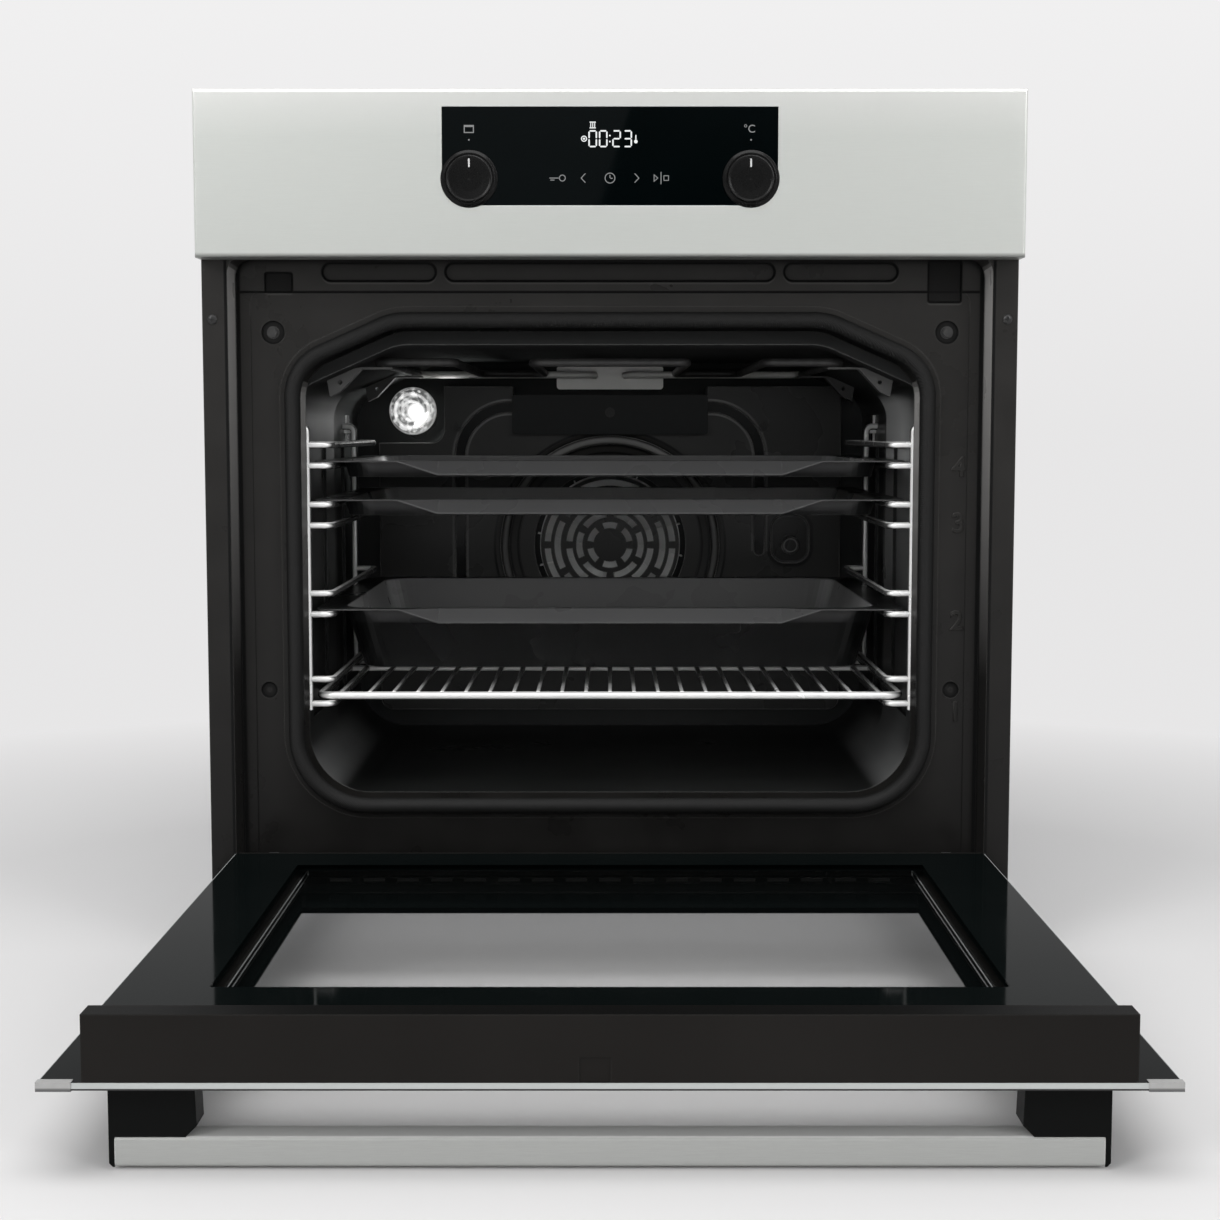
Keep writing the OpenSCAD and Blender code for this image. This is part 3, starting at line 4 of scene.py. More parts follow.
import bpy
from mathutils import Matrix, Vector


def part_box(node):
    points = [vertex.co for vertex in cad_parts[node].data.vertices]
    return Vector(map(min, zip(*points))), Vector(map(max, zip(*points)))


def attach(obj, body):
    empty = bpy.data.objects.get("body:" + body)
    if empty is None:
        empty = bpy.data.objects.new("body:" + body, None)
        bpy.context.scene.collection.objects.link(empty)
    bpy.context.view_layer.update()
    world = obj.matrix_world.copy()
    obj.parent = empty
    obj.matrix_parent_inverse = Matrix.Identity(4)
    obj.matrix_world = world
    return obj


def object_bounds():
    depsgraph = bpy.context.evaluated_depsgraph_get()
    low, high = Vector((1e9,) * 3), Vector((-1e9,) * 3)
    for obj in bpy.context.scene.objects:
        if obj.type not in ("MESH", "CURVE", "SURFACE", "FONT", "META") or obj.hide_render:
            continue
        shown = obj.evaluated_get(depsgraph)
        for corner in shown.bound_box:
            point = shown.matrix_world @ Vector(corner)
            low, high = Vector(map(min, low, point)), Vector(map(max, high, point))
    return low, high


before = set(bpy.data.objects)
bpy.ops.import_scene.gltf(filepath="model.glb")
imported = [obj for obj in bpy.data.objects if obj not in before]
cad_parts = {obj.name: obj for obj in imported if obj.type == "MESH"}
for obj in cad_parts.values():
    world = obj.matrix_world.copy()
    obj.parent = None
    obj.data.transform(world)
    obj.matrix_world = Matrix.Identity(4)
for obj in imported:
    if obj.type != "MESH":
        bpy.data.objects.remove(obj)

cad_box = [list(corner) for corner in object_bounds()]
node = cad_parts

# ------------------------------------------------------------------ studio
# A pale floor, a white room and wide soft lamps at the left, at the right and above.
# The camera stands in front of the cavity and looks slightly down into it.
# Most heights and depths below start from two edges of the front: its face and its foot.
front_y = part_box("control_panel")[0].y
low_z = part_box("front_frame")[0].z
eye_back, eye_height, eye_pitch = 1.4484, 0.3523, 5.123
eye = bpy.data.cameras.new("eye")
eye.lens = 59.016
eye.sensor_width = 36
eye.clip_end = 50
camera = bpy.data.objects.new("eye", eye)
camera.location = (0, front_y - eye_back, low_z + eye_height)
camera.rotation_euler = (radians(90 - eye_pitch), 0, 0)
bpy.context.scene.collection.objects.link(camera)
bpy.context.scene.camera = camera
bpy.context.scene.view_settings.view_transform = "Standard"
bpy.context.scene.cycles.transparent_max_bounces = 24


class Value:
    """A number, colour, vector or surface inside a node tree; arithmetic adds Math nodes."""

    def __init__(self, shading, socket):
        self.shading = shading
        self.socket = socket

    def math(self, operation, *others):
        inputs = dict(enumerate((self,) + others))
        return self.shading.add("ShaderNodeMath", {"operation": operation}, inputs)

    def __add__(self, other):
        return self.math("ADD", other)

    __radd__ = __add__

    def __mul__(self, other):
        return self.math("MULTIPLY", other)

    __rmul__ = __mul__

    def __sub__(self, other):
        return self.math("SUBTRACT", other)

    def __rsub__(self, other):
        return self.math("MULTIPLY_ADD", -1, other)

    def __or__(self, other):
        return self.math("MAXIMUM", other)

    __ror__ = __or__

    def __abs__(self):
        return self.math("ABSOLUTE")

    def ramp(self, low, high, at_low=0.0, at_high=1.0):
        """Spread low..high of this value onto at_low..at_high, held level at the ends."""
        inputs = {0: self, 1: low, 2: high, 3: at_low, 4: at_high}
        return self.shading.add("ShaderNodeMapRange", {"clamp": True}, inputs)


class Shading:
    """A node tree of the room or of a finish, which gets its nodes one call at a time."""

    def __init__(self, tree):
        self.tree = tree

    def add(self, kind, settings=None, inputs=None, output=0):
        made = self.tree.nodes.new(kind)
        for key, value in (settings or {}).items():
            setattr(made, key, value)
        for key, value in (inputs or {}).items():
            if isinstance(value, Value):
                self.tree.links.new(value.socket, made.inputs[key])
            else:
                made.inputs[key].default_value = value
        return Value(self, made.outputs[output])

    def split(self, vector, index):
        return self.add("ShaderNodeSeparateXYZ", {}, {0: vector}, index)

    def tint(self, factor, dark, light):
        """Mix of two colours by a value; a Mix node keeps its colours on sockets 6 and 7."""
        first = dark if isinstance(dark, Value) else (*dark, 1)
        second = light if isinstance(light, Value) else (*light, 1)
        inputs = {0: factor, 6: first, 7: second}
        return self.add("ShaderNodeMix", {"data_type": "RGBA"}, inputs, 2)

    def seen(self):
        """1 for what the camera sees, by itself, in gloss or through glass."""
        camera_ray = self.add("ShaderNodeLightPath", output="Is Camera Ray")
        glossy_ray = self.add("ShaderNodeLightPath", output="Is Glossy Ray")
        return camera_ray | glossy_ray | self.add("ShaderNodeLightPath",
                                                  output="Is Transmission Ray")

    def end_with(self, output, surface):
        self.tree.links.new(surface.socket, self.tree.nodes[output].inputs["Surface"])


room = bpy.data.worlds.new("room")
bpy.context.scene.world = room
room.use_nodes = True
air = Shading(room.node_tree)
toward = air.add("ShaderNodeTexCoord", output="Generated")
right, back, up = (air.split(toward, index) for index in range(3))
# seen in gloss, the far end of the studio behind the camera is dim at eye level,
# and almost black to the right of a slanting edge, from the clock's height upwards
slant = (right - up * 0.315 + 0.0395).ramp(-0.0006, 0.0006) * up.ramp(0.09, 0.105)
far_end = air.tint(slant, (0.21, 0.22, 0.225), (0.012, 0.016, 0.018))
pale = back.ramp(-0.8, 0.1) | up.ramp(0.12, 0.6)
white = air.tint(up.ramp(0, 0.2), (0.8, 0.794, 0.797), (0.875, 0.87, 0.873))
shown = air.tint(pale | air.add("ShaderNodeLightPath", output="Is Camera Ray"), far_end, white)
shown = air.add("ShaderNodeBackground", {}, {"Color": shown})
lit = air.add("ShaderNodeBackground", {}, {"Color": (0.86, 0.86, 0.865, 1), "Strength": 0.62})
both = air.add("ShaderNodeMixShader", {}, {0: air.seen(), 1: lit, 2: shown})
air.end_with("World Output", both)


def soft_lamp(name, place, aim, size, power):
    """A rectangular lamp at a place, turned to shine at its aim."""
    lamp = bpy.data.lights.new(name, "AREA")
    lamp.shape = "RECTANGLE"
    lamp.size, lamp.size_y = size
    lamp.energy = power
    stand = bpy.data.objects.new(name, lamp)
    stand.location = place
    stand.rotation_euler = (Vector(aim) - Vector(place)).to_track_quat("-Z", "Y").to_euler()
    bpy.context.scene.collection.objects.link(stand)


soft_lamp("lamp_left", (-1.9, -2.7, 1.9), (0, -0.3, 0.25), (1.2, 1.2), 36)
soft_lamp("lamp_right", (2.1, -2.5, 1.5), (0, -0.3, 0.25), (1.0, 1.2), 22)
soft_lamp("lamp_above", (0, -1.1, 2.4), (0, -0.4, 0.1), (2.2, 1.4), 32)
# a fill at the height of the cavity; being diffuse only, it leaves no glare on the enamel
soft_lamp("lamp_fill", (0, -2.9, 0.62), (0, 0, 0.2), (2.4, 0.7), 22)
# a weak one under the body, over the floor that shows through the open door's window
soft_lamp("lamp_under", (0, front_y + 0.08, low_z - 0.006), (0, front_y + 0.08, -1),
          (0.44, 0.3), 0.19)
# and the oven's own lamp, shining out of its lens
lens_low, lens_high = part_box("lamp_glass")
lens_at = (lens_low + lens_high) / 2
lens_at.y = lens_low.y - 0.006
soft_lamp("lamp_oven", lens_at, lens_at + Vector((0.1, -0.2, -0.1)), (0.03, 0.03), 0.5)
for unseen in ("lamp_fill", "lamp_under", "lamp_oven"):
    bpy.data.objects[unseen].visible_glossy = False
    bpy.data.objects[unseen].visible_camera = False

bpy.ops.object.select_all(action="DESELECT")
# the floor lies just under the handle; far away it melts into the white of the room
floor_z = cad_box[0][2] - 0.002
bpy.ops.mesh.primitive_plane_add(size=14, location=(0, 0, floor_z))
floor = bpy.context.active_object
floor.name = "studio_floor"
floor_paint = bpy.data.materials.new("floor_paint")
floor_paint.use_nodes = True
ground = Shading(floor_paint.node_tree)
here = ground.add("ShaderNodeTexCoord", output="Object")
across, along = ground.split(here, 0), ground.split(here, 1) + 0.3
away = (across * across + along * along).math("SQRT").ramp(0.65, 1.35)
plain = ground.add("ShaderNodeBsdfDiffuse", {}, {"Color": (0.66, 0.655, 0.655, 1)})
distant = ground.add("ShaderNodeEmission", {}, {"Color": (0.8, 0.794, 0.797, 1)})
ground.end_with("Material Output", ground.add("ShaderNodeMixShader", {},
                                              {0: away * ground.seen(), 1: plain, 2: distant}))
floor.data.materials.append(floor_paint)


# ------------------------------------------------------------------ enamelled front frame
# One deep-drawn steel frame, dipped in black vitreous enamel and fired.
# The glaze is glossy with a faint orange peel; the pale line on its bends is partly thinner
# glaze and partly painted highlight.
# It is painted from measures across the frame and up from its foot.
class Finish(Shading):
    """One surface finish: a Principled surface and the nodes that vary it."""

    def __init__(self, name, colour, **fixed):
        self.material = bpy.data.materials.new(name)
        self.material.use_nodes = True
        super().__init__(self.material.node_tree)
        self.surface = self.tree.nodes["Principled BSDF"]
        self.surface.inputs["Base Color"].default_value = (*colour, 1)
        for key, value in fixed.items():
            self.surface.inputs[key.replace("_", " ")].default_value = value

    def place(self, stretch=(1, 1, 1)):
        here = self.add("ShaderNodeTexCoord", output="Object")
        return self.add("ShaderNodeMapping", {}, {"Vector": here, "Scale": stretch})

    def axis(self, index):
        return self.split(self.place(), index)

    def facing(self, index):
        return self.split(self.add("ShaderNodeNewGeometry", output="Normal"), index)

    def noise(self, scale, detail=3, stretch=(1, 1, 1), rough=0.5):
        inputs = {"Vector": self.place(stretch), "Scale": scale, "Detail": detail,
                  "Roughness": rough}
        return self.add("ShaderNodeTexNoise", {}, inputs)

    def wave(self, scale, direction, distortion):
        inputs = {"Vector": self.place(), "Scale": scale, "Distortion": distortion}
        return self.add("ShaderNodeTexWave", {"bands_direction": direction}, inputs)

    def cells(self, scale, feature="F1", output="Distance"):
        inputs = {"Vector": self.place(), "Scale": scale}
        return self.add("ShaderNodeTexVoronoi", {"feature": feature}, inputs, output)

    def soft_edge(self, radius):
        """The surface's direction with every edge eased, and how far it is eased there."""
        eased = self.add("ShaderNodeBevel", {"samples": 4}, {"Radius": radius})
        flat = self.add("ShaderNodeNewGeometry", output="Normal")
        alike = self.add("ShaderNodeVectorMath", {"operation": "DOT_PRODUCT"},
                         {0: eased, 1: flat}, "Value")
        return eased, alike.ramp(0.995, 0.80)

    def edge(self, x, z, half_x, half_z, rounding):
        """How far outside the outline of a rounded pressing the surface lies, 0 on it."""
        beyond_x = (abs(x) - (half_x - rounding)) | 0
        beyond_z = (abs(z) - (half_z - rounding)) | 0
        return (beyond_x * beyond_x + beyond_z * beyond_z).math("SQRT") - rounding

    def crease(self, reach):
        """How deep in a groove or corner of the same piece the surface lies, 0 to 1."""
        open_air = self.add("ShaderNodeAmbientOcclusion", {"samples": 8, "only_local": True},
                            {"Distance": reach}, "AO")
        return open_air.ramp(0.92, 0.6)

    def feed(self, name, value):
        self.tree.links.new(value.socket, self.surface.inputs[name])

    def bump(self, height, strength, depth, normal=None):
        inputs = {"Strength": strength, "Distance": depth, "Height": height}
        if normal:
            inputs["Normal"] = normal
        self.feed("Normal", self.add("ShaderNodeBump", {}, inputs))

    def paint(self, *targets):
        for target in targets:
            thing = node[target] if isinstance(target, str) else target
            if not thing.material_slots:
                thing.data.materials.append(self.material)
            for held in thing.material_slots:
                held.material = self.material


enamel = Finish("black_enamel", (0.012, 0.0113, 0.0105), Roughness=0.3,
                Specular_IOR_Level=0.2)
glaze = enamel.noise(26, 4)
eased, bend = enamel.soft_edge(0.0012)
# painted shade: the frame darkens towards its foot, with a little random tone from the glaze
shade_toward_foot = enamel.axis(2).ramp(low_z + 0.05, low_z + 0.45)
coat = enamel.tint(shade_toward_foot * 0.8 + glaze.ramp(0.35, 0.7) * 0.2, (0.0058, 0.0055, 0.0052),
                   (0.0185, 0.0176, 0.0165))
across, up = enamel.axis(0), enamel.axis(2) - low_z
# painted highlight on the drawn side walls of the recess, brighter the higher they stand, the
# right one most
wall_highlight = up.ramp(0.17, 0.44) * across.ramp(-0.01, 0.01, 0.68, 1)
wall = enamel.tint(wall_highlight, (0.014, 0.0135, 0.013), (0.36, 0.353, 0.345))
coat = enamel.tint(abs(enamel.facing(0)).ramp(0.85, 0.95), coat, wall)
# the upper lip of the mouth turns away from all light
lip = enamel.axis(1).ramp(front_y + 0.046, front_y + 0.049)
lip = lip * enamel.axis(2).ramp(low_z + 0.38, low_z + 0.41)
coat = enamel.tint(lip, coat, (0.002, 0.0022, 0.0021))
field_x, field_top = 0.266, 0.44
field_side = abs(abs(across) - field_x).ramp(0.0035, 0.0025)
field_side = field_side * up.ramp(field_top, field_top - 0.005)
# a pale line on the bends, partly thinner glaze and partly painted highlight, left off the
# field's upright edges
coat = enamel.tint(bend * (1 - field_side), coat, (0.07, 0.068, 0.064))
# painted shade draws a dark line round each pressing and fills the small ones, and a painted
# highlight draws a pale line under each: three long pockets, a short one at each side, the
# screw dishes and the two round marks
foot_x, edge_x, step_z = 0.2748, 0.2798, 0.4544
long_z, long_half = 0.4690, 0.00665
dark = abs(up - step_z).ramp(0.0013, 0.0007) * abs(across).ramp(0.2745, 0.2735)
light, hollow = 0, 0
for x, z, half_x, half_z, rounding in (
        (-0.1706, long_z, 0.0420, long_half, long_half),
        (0, long_z, 0.1217, long_half, long_half),
        (0.1706, long_z, 0.0420, long_half, long_half),
        (-0.2449, 0.46135, 0.0099, 0.00695, 0.0016),
        (0.24745, 0.4620, 0.01205, 0.0150, 0.0016)):
    edge = enamel.edge(across - x, up - z, half_x, half_z, rounding)
    dark = abs(edge).ramp(0.0014, 0.0007) | dark
    under = enamel.edge(across - x, up - z + 0.0016, half_x, half_z, rounding)
    light = abs(under).ramp(0.0009, 0.0003) * (up - z).ramp(0.001, -0.002) | light
    if half_x < 0.02:
        hollow = edge.ramp(-0.0004, -0.0012) | hollow
for x, z, radius in ((0.2496, 0.4248, 0.0085), (0.2562, 0.158, 0.0060)):
    edge = enamel.edge(abs(across) - x, up - z, radius, radius, radius)
    dark = abs(edge + 0.0008).ramp(0.0014, 0.0007) | dark
    light = abs(edge + 0.0040).ramp(0.0008, 0.0003) | light
    hollow = edge.ramp(-0.0004, -0.0012) * edge.ramp(-0.0048, -0.0042) | hollow
plate = enamel.axis(1).ramp(front_y + 0.043, front_y + 0.044)
coat = enamel.tint(light * plate, coat, (0.035, 0.034, 0.032))
# painted shade lines at the foot and at the edge of the recess walls
recess_foot = abs(abs(across) - foot_x).ramp(0.0016, 0.0009) * plate
recess_edge = abs(abs(across) - edge_x).ramp(0.0014, 0.0008) * (1 - plate)
hollow = hollow * plate * 0.8
dark = dark * plate | recess_foot | recess_edge
coat = enamel.tint(hollow | dark, coat, (0.0012, 0.0012, 0.0012))
# painted shade deep in creases
deep = enamel.crease(0.006)
enamel.feed("Base Color", enamel.tint(deep, coat, (0.001, 0.001, 0.001)))
enamel.feed("Roughness", glaze.ramp(0.3, 0.75, 0.26, 0.36) + (deep | dark | hollow) * 0.5)
enamel.bump(enamel.noise(900, 2), 0.05, 0.0003, eased)
enamel.paint("front_frame")

# ------------------------------------------------------------------ cabinet screws
# Two blackened cross-head screws that fix the flange to the cabinet at the sides.
# Each is a domed disc with a cross cut into it.
flange_y = front_y + 0.021
screw_x, screw_z, screw_r, slot_w = 0.2895, 0.433, 0.0036, 0.0007
screw_heads = []
for side in (-1, 1):
    at = (side * screw_x, flange_y - 0.0001, low_z + screw_z)
    bpy.ops.mesh.primitive_uv_sphere_add(segments=24, ring_count=12, radius=screw_r,
                                         location=at)
    head = bpy.context.active_object
    head.name = "cabinet_screw_left" if side < 0 else "cabinet_screw_right"
    bpy.ops.object.mode_set(mode="EDIT")
    bpy.ops.mesh.bisect(plane_co=at, plane_no=(0, 1, 0), clear_outer=True, use_fill=True)
    bpy.ops.mesh.select_all(action="SELECT")
    bpy.ops.transform.resize(value=(1, 0.45, 1), center_override=at)
    bpy.ops.object.mode_set(mode="OBJECT")
    for arm in ((screw_r, 0.003, slot_w), (slot_w, 0.003, screw_r)):
        bpy.ops.mesh.primitive_cube_add(size=1, location=(at[0], at[1] - 0.0022, at[2]))
        cutter = bpy.context.active_object
        cutter.scale = arm
        bpy.ops.object.transform_apply(location=True, rotation=True, scale=True)
        bpy.ops.object.select_all(action="DESELECT")
        head.select_set(True)
        bpy.context.view_layer.objects.active = head
        cut = head.modifiers.new("cross", "BOOLEAN")
        cut.operation = "DIFFERENCE"
        cut.object = cutter
        bpy.ops.object.modifier_apply(modifier=cut.name)
        bpy.data.objects.remove(cutter)
    bpy.ops.object.transform_apply(location=True, rotation=True, scale=True)
    screw_heads.append(head)
    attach(head, "oven")
screw_black = Finish("screw_black", (0.02, 0.02, 0.02), Metallic=0.5, Roughness=0.35)
screw_black.feed("Base Color", screw_black.tint(screw_black.noise(600, 3),
                                                (0.01, 0.01, 0.01), (0.05, 0.05, 0.05)))
screw_black.paint(*screw_heads)

# ------------------------------------------------------------------ shelf numbers
# Each shelf level has its number pressed up out of the frame at the right of the mouth.
# They are filled digits, a hair proud of the plate, in the same enamel.
plate_y = front_y + 0.0454
number_x, number_size = 0.2600, 0.0205


def stand_up(name, place, finish, body="oven"):
    """Make the active flat outline a mesh, stand it up at its place, paint it and fix it."""
    bpy.ops.object.convert(target="MESH")
    piece = bpy.context.active_object
    piece.name = name
    piece.rotation_euler = (pi / 2, 0, 0)
    piece.location = place
    bpy.ops.object.transform_apply(location=True, rotation=True, scale=True)
    finish.paint(piece)
    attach(piece, body)


def lettering(name, text, size, thick, rounding, place, finish):
    """Centred type, standing out from its place to both sides by half of its thickness."""
    bpy.ops.object.text_add(location=(0, 0, 0))
    letters = bpy.context.active_object.data
    letters.body = text
    letters.size = size
    letters.align_x = "CENTER"
    letters.align_y = "CENTER"
    letters.extrude = thick / 2
    letters.bevel_depth = rounding
    stand_up(name, place, finish)


for number, height in ((4, 0.3247), (3, 0.2830), (2, 0.2097), (1, 0.1410)):
    lettering("shelf_number_%d" % number, str(number), number_size, 0.001, 0.0006,
              (number_x, plate_y, low_z + height), enamel)

# ------------------------------------------------------------------ door seal
# Braided glass-fibre tube over a wire spring, dyed black, clipped round the mouth.
# The braid runs in fine slanted ribs.
braid = Finish("seal_braid", (0.005, 0.005, 0.005), Roughness=0.6, Specular_IOR_Level=0.25)
ribs = braid.wave(420, "DIAGONAL", 1.5)
braid.feed("Base Color", braid.tint(ribs, (0.003, 0.003, 0.003), (0.0085, 0.0085, 0.0083)))
braid.bump(ribs + braid.noise(700, 2) * 0.6, 0.4, 0.0005)
braid.paint("door_seal")

# ------------------------------------------------------------------ control panel
# Folded sheet of stainless steel, brushed along its length, with rounded long edges.
# Fine streaks of unequal length and a soft, even sheen; painted light makes it paler towards
# the top, and painted shade darker on the lower fold.
steel = Finish("brushed_stainless", (0.72, 0.725, 0.70), Metallic=0.7, Roughness=0.36,
               Anisotropic=0.5)
long_streaks = steel.noise(60, 5, (0.6, 40, 40), 0.7)
fine_streaks = steel.noise(240, 3, (0.5, 30, 30), 0.6)
cloud = steel.noise(3.5, 2, (1, 1, 3))
sheen = steel.tint(long_streaks * 0.55 + fine_streaks * 0.25 + cloud * 0.2,
                   (0.575, 0.591, 0.562), (0.705, 0.721, 0.692))
panel_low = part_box("control_panel")[0].z
# painted shade on the lower fold, and painted light towards the top
fold_shade = steel.axis(2).ramp(panel_low + 0.0035, panel_low + 0.0015)
upper = steel.axis(2).ramp(panel_low + 0.085, panel_low + 0.115)
sheen = steel.tint(upper, sheen, (0.72, 0.725, 0.70))
steel.feed("Base Color", steel.tint(fold_shade, sheen, (0.34, 0.35, 0.335)))
steel.feed("Roughness", fine_streaks.ramp(0.2, 0.8, 0.3, 0.42))
steel.bump(fine_streaks + long_streaks, 0.05, 0.0002, steel.soft_edge(0.0008)[0])
steel.paint("control_panel")

# ------------------------------------------------------------------ window glass
# Flat black glass, printed black behind and polished in front.
# Nothing shows on it but its signs, and a trace of haze.
glass = Finish("window_black", (0.003, 0.0045, 0.005), Roughness=0.07,
               Specular_IOR_Level=0.24)
haze = glass.noise(14, 3, (1, 1, 2))
glass.feed("Base Color", glass.tint(haze, (0.0002, 0.0009, 0.0010),
                                    (0.0007, 0.0016, 0.0018)))
glass.feed("Roughness", haze.ramp(0.3, 0.7, 0.02, 0.04))
glass.paint("panel_glass")

# ------------------------------------------------------------------ lit clock
# Seven-bar digits behind the glass, with a two-dot colon, showing 00:23.
# One complete eight is built from its bars, then each digit keeps the bars it lights.
glow = Finish("digit_glow", (0.05, 0.05, 0.05), Roughness=0.4, Emission_Strength=0.95)
glow.feed("Emission Color", glow.tint(glow.noise(2600, 1), (0.8, 0.83, 0.83),
                                      (0.92, 0.94, 0.94)))
sign_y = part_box("panel_glass")[0].y - 0.00002


def disc(x, z, radius, count=16):
    """The outline of a round dot."""
    return [(x + radius * cos(2 * pi * i / count), z + radius * sin(2 * pi * i / count))
            for i in range(count)]


def ring(x, z, radius, width, count=32):
    """The two outlines of a circle drawn with a line of some width."""
    return [disc(x, z, radius + width / 2, count), disc(x, z, radius - width / 2, count)]


def stroke(x0, z0, x1, z1, width):
    """The outline of a straight line of some width."""
    along = Vector((x1 - x0, z1 - z0)).normalized()
    side = Vector((-along.y, along.x)) * width / 2
    return [(x0 + side.x, z0 + side.y), (x0 - side.x, z0 - side.y),
            (x1 - side.x, z1 - side.y), (x1 + side.x, z1 + side.y)]


def sign(name, outlines, finish, body="oven", y=sign_y, thick=0.00005):
    """Closed outlines filled as one thin sheet standing in the plane of the glass."""
    lines = bpy.data.curves.new(name, "CURVE")
    lines.dimensions = "2D"
    lines.fill_mode = "BOTH"
    lines.extrude = thick / 2
    for outline in outlines:
        line = lines.splines.new("POLY")
        line.points.add(len(outline) - 1)
        for point, (x, z) in zip(line.points, outline):
            point.co = (x, z, 0, 1)
        line.use_cyclic_u = True
    flat = bpy.data.objects.new(name, lines)
    bpy.context.scene.collection.objects.link(flat)
    bpy.ops.object.select_all(action="DESELECT")
    flat.select_set(True)
    bpy.context.view_layer.objects.active = flat
    stand_up(name, (0, y - thick / 2, 0), finish, body)


digit_h, digit_w, bar_w, bar_gap = 0.0120, 0.0062, 0.00105, 0.00022
clock_z = low_z + 0.5594
flat_bars = {"top": 1, "middle": 0, "bottom": -1}
tall_bars = {"left upper": (-1, 1), "right upper": (1, 1), "left lower": (-1, -1),
             "right lower": (1, -1)}
unlit = {"0": ["middle"], "2": ["left upper", "right lower"],
         "3": ["left upper", "left lower"]}
# half the length of a flat and of a tall bar, and how far their ends are pointed
flat, tall, cut = digit_w / 2 - bar_w / 2 - bar_gap, (digit_h - bar_w) / 4 - bar_gap, bar_w / 2
clock = []
for text, x in (("0", -0.0123), ("0", -0.0048), ("2", 0.0047), ("3", 0.0126)):
    for name, level in flat_bars.items():
        if name not in unlit[text]:
            z = clock_z + level * (digit_h - bar_w) / 2
            clock.append([(x - flat, z), (x - flat + cut, z - cut), (x + flat - cut, z - cut),
                          (x + flat, z), (x + flat - cut, z + cut), (x - flat + cut, z + cut)])
    for name, (side, level) in tall_bars.items():
        if name not in unlit[text]:
            across = x + side * (digit_w - bar_w) / 2
            z = clock_z + level * (digit_h - bar_w) / 4
            clock.append([(across, z - tall), (across + cut, z - tall + cut),
                          (across + cut, z + tall - cut), (across, z + tall),
                          (across - cut, z + tall - cut), (across - cut, z - tall + cut)])
clock += [disc(-0.0001, clock_z + lift, 0.0006, 10) for lift in (-0.0020, 0.0022)]
sign("clock_digits", clock, glow)

# ------------------------------------------------------------------ lit and printed signs
# Small function signs round the clock, and the row of touch keys below it:
# lock, back, clock, forward, start and stop. The keys glow more weakly than the digits.
soft_glow = Finish("sign_glow", (0.03, 0.03, 0.03), Roughness=0.4, Emission_Strength=0.38)
soft_glow.feed("Emission Color", soft_glow.tint(soft_glow.noise(2600, 1),
                                                (0.46, 0.47, 0.47), (0.6, 0.61, 0.61)))
# a grill above the digits, a timer's dial before them and a thermometer after them
small = [stroke(-0.0145, clock_z + 0.0076, -0.0101, clock_z + 0.0076, 0.0007),
         stroke(-0.0145, clock_z + 0.0116, -0.0101, clock_z + 0.0116, 0.0007)]
small += [stroke(x, clock_z + 0.0081, x, clock_z + 0.0111, 0.0006)
          for x in (-0.0137, -0.0123, -0.0109)]
small += ring(-0.0185, clock_z, 0.0018, 0.0007) + [disc(-0.0185, clock_z, 0.0008, 12)]
small += [stroke(0.0184, clock_z - 0.0008, 0.0184, clock_z + 0.0026, 0.0008),
          disc(0.0184, clock_z - 0.0020, 0.0013, 14)]
sign("clock_signs", small, glow)

key_z = low_z + 0.5318
key_w = 0.0006
# the lock is a small key, and the clock has two hands
keys = ring(-0.0340, key_z, 0.0021, key_w)
keys += [stroke(-0.0366, key_z, -0.0432, key_z, key_w),
         stroke(-0.0396, key_z - 0.0014, -0.0426, key_z - 0.0014, key_w)]
keys += ring(0, key_z, 0.0035, key_w)
keys += [stroke(0, key_z + 0.0001, 0, key_z + 0.0022, key_w),
         stroke(0.0003, key_z - 0.0002, 0.0019, key_z - 0.0002, key_w)]
# back and forward are open arrows
for side in (-1, 1):
    tip_x, back_x, half = side * 0.0202, side * 0.0172, 0.0032
    keys.append([(tip_x, key_z), (back_x, key_z + half),
                 (back_x + side * 0.0008, key_z + half), (tip_x + side * 0.0008, key_z),
                 (back_x + side * 0.0008, key_z - half), (back_x, key_z - half)])
# start is a hollow triangle and stop a hollow square, with a bar between them
keys += [[(0.0312, key_z + 0.0028), (0.0312, key_z - 0.0028), (0.0345, key_z)],
         [(0.0317, key_z + 0.0018), (0.0317, key_z - 0.0018), (0.0337, key_z)],
         stroke(0.0364, key_z + 0.0043, 0.0364, key_z - 0.0043, key_w),
         [(0.0382, key_z + 0.0019), (0.0420, key_z + 0.0019), (0.0420, key_z - 0.0019),
          (0.0382, key_z - 0.0019)],
         [(0.0387, key_z + 0.0014), (0.0415, key_z + 0.0014), (0.0415, key_z - 0.0014),
          (0.0387, key_z - 0.0014)]]
sign("key_signs", keys, soft_glow)

# ------------------------------------------------------------------ knobs
# Moulded black knobs, pressed in level with their rings. Over one is the sign of an oven
# with top heat, over the other a degree sign; each has a dot, and a pale pointer line.
knob_low, knob_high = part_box("temperature_knob")
knob_x, knob_z = (knob_low.x + knob_high.x) / 2, (knob_low.z + knob_high.z) / 2
dot_z = low_z + 0.5586
above = [disc(-knob_x, dot_z, 0.0006, 12), disc(knob_x, dot_z, 0.0006, 12)]
for half, foot, head in ((0.0036, 0.5634, 0.5690), (0.0029, 0.5641, 0.5676)):
    above.append([(-knob_x - half, low_z + head), (-knob_x + half, low_z + head),
                  (-knob_x + half, low_z + foot), (-knob_x - half, low_z + foot)])
sign("knob_signs", above, soft_glow)

lettering("degree_sign", "\u00b0C", 0.0078, 0.00006, 0,
          (knob_x - 0.0012, sign_y, low_z + 0.5661), soft_glow)

moulded = Finish("knob_plastic", (0.004, 0.004, 0.004), Roughness=0.26,
                 Specular_IOR_Level=0.17)
grain = moulded.noise(1800, 2)
eased, bend = moulded.soft_edge(0.0009)
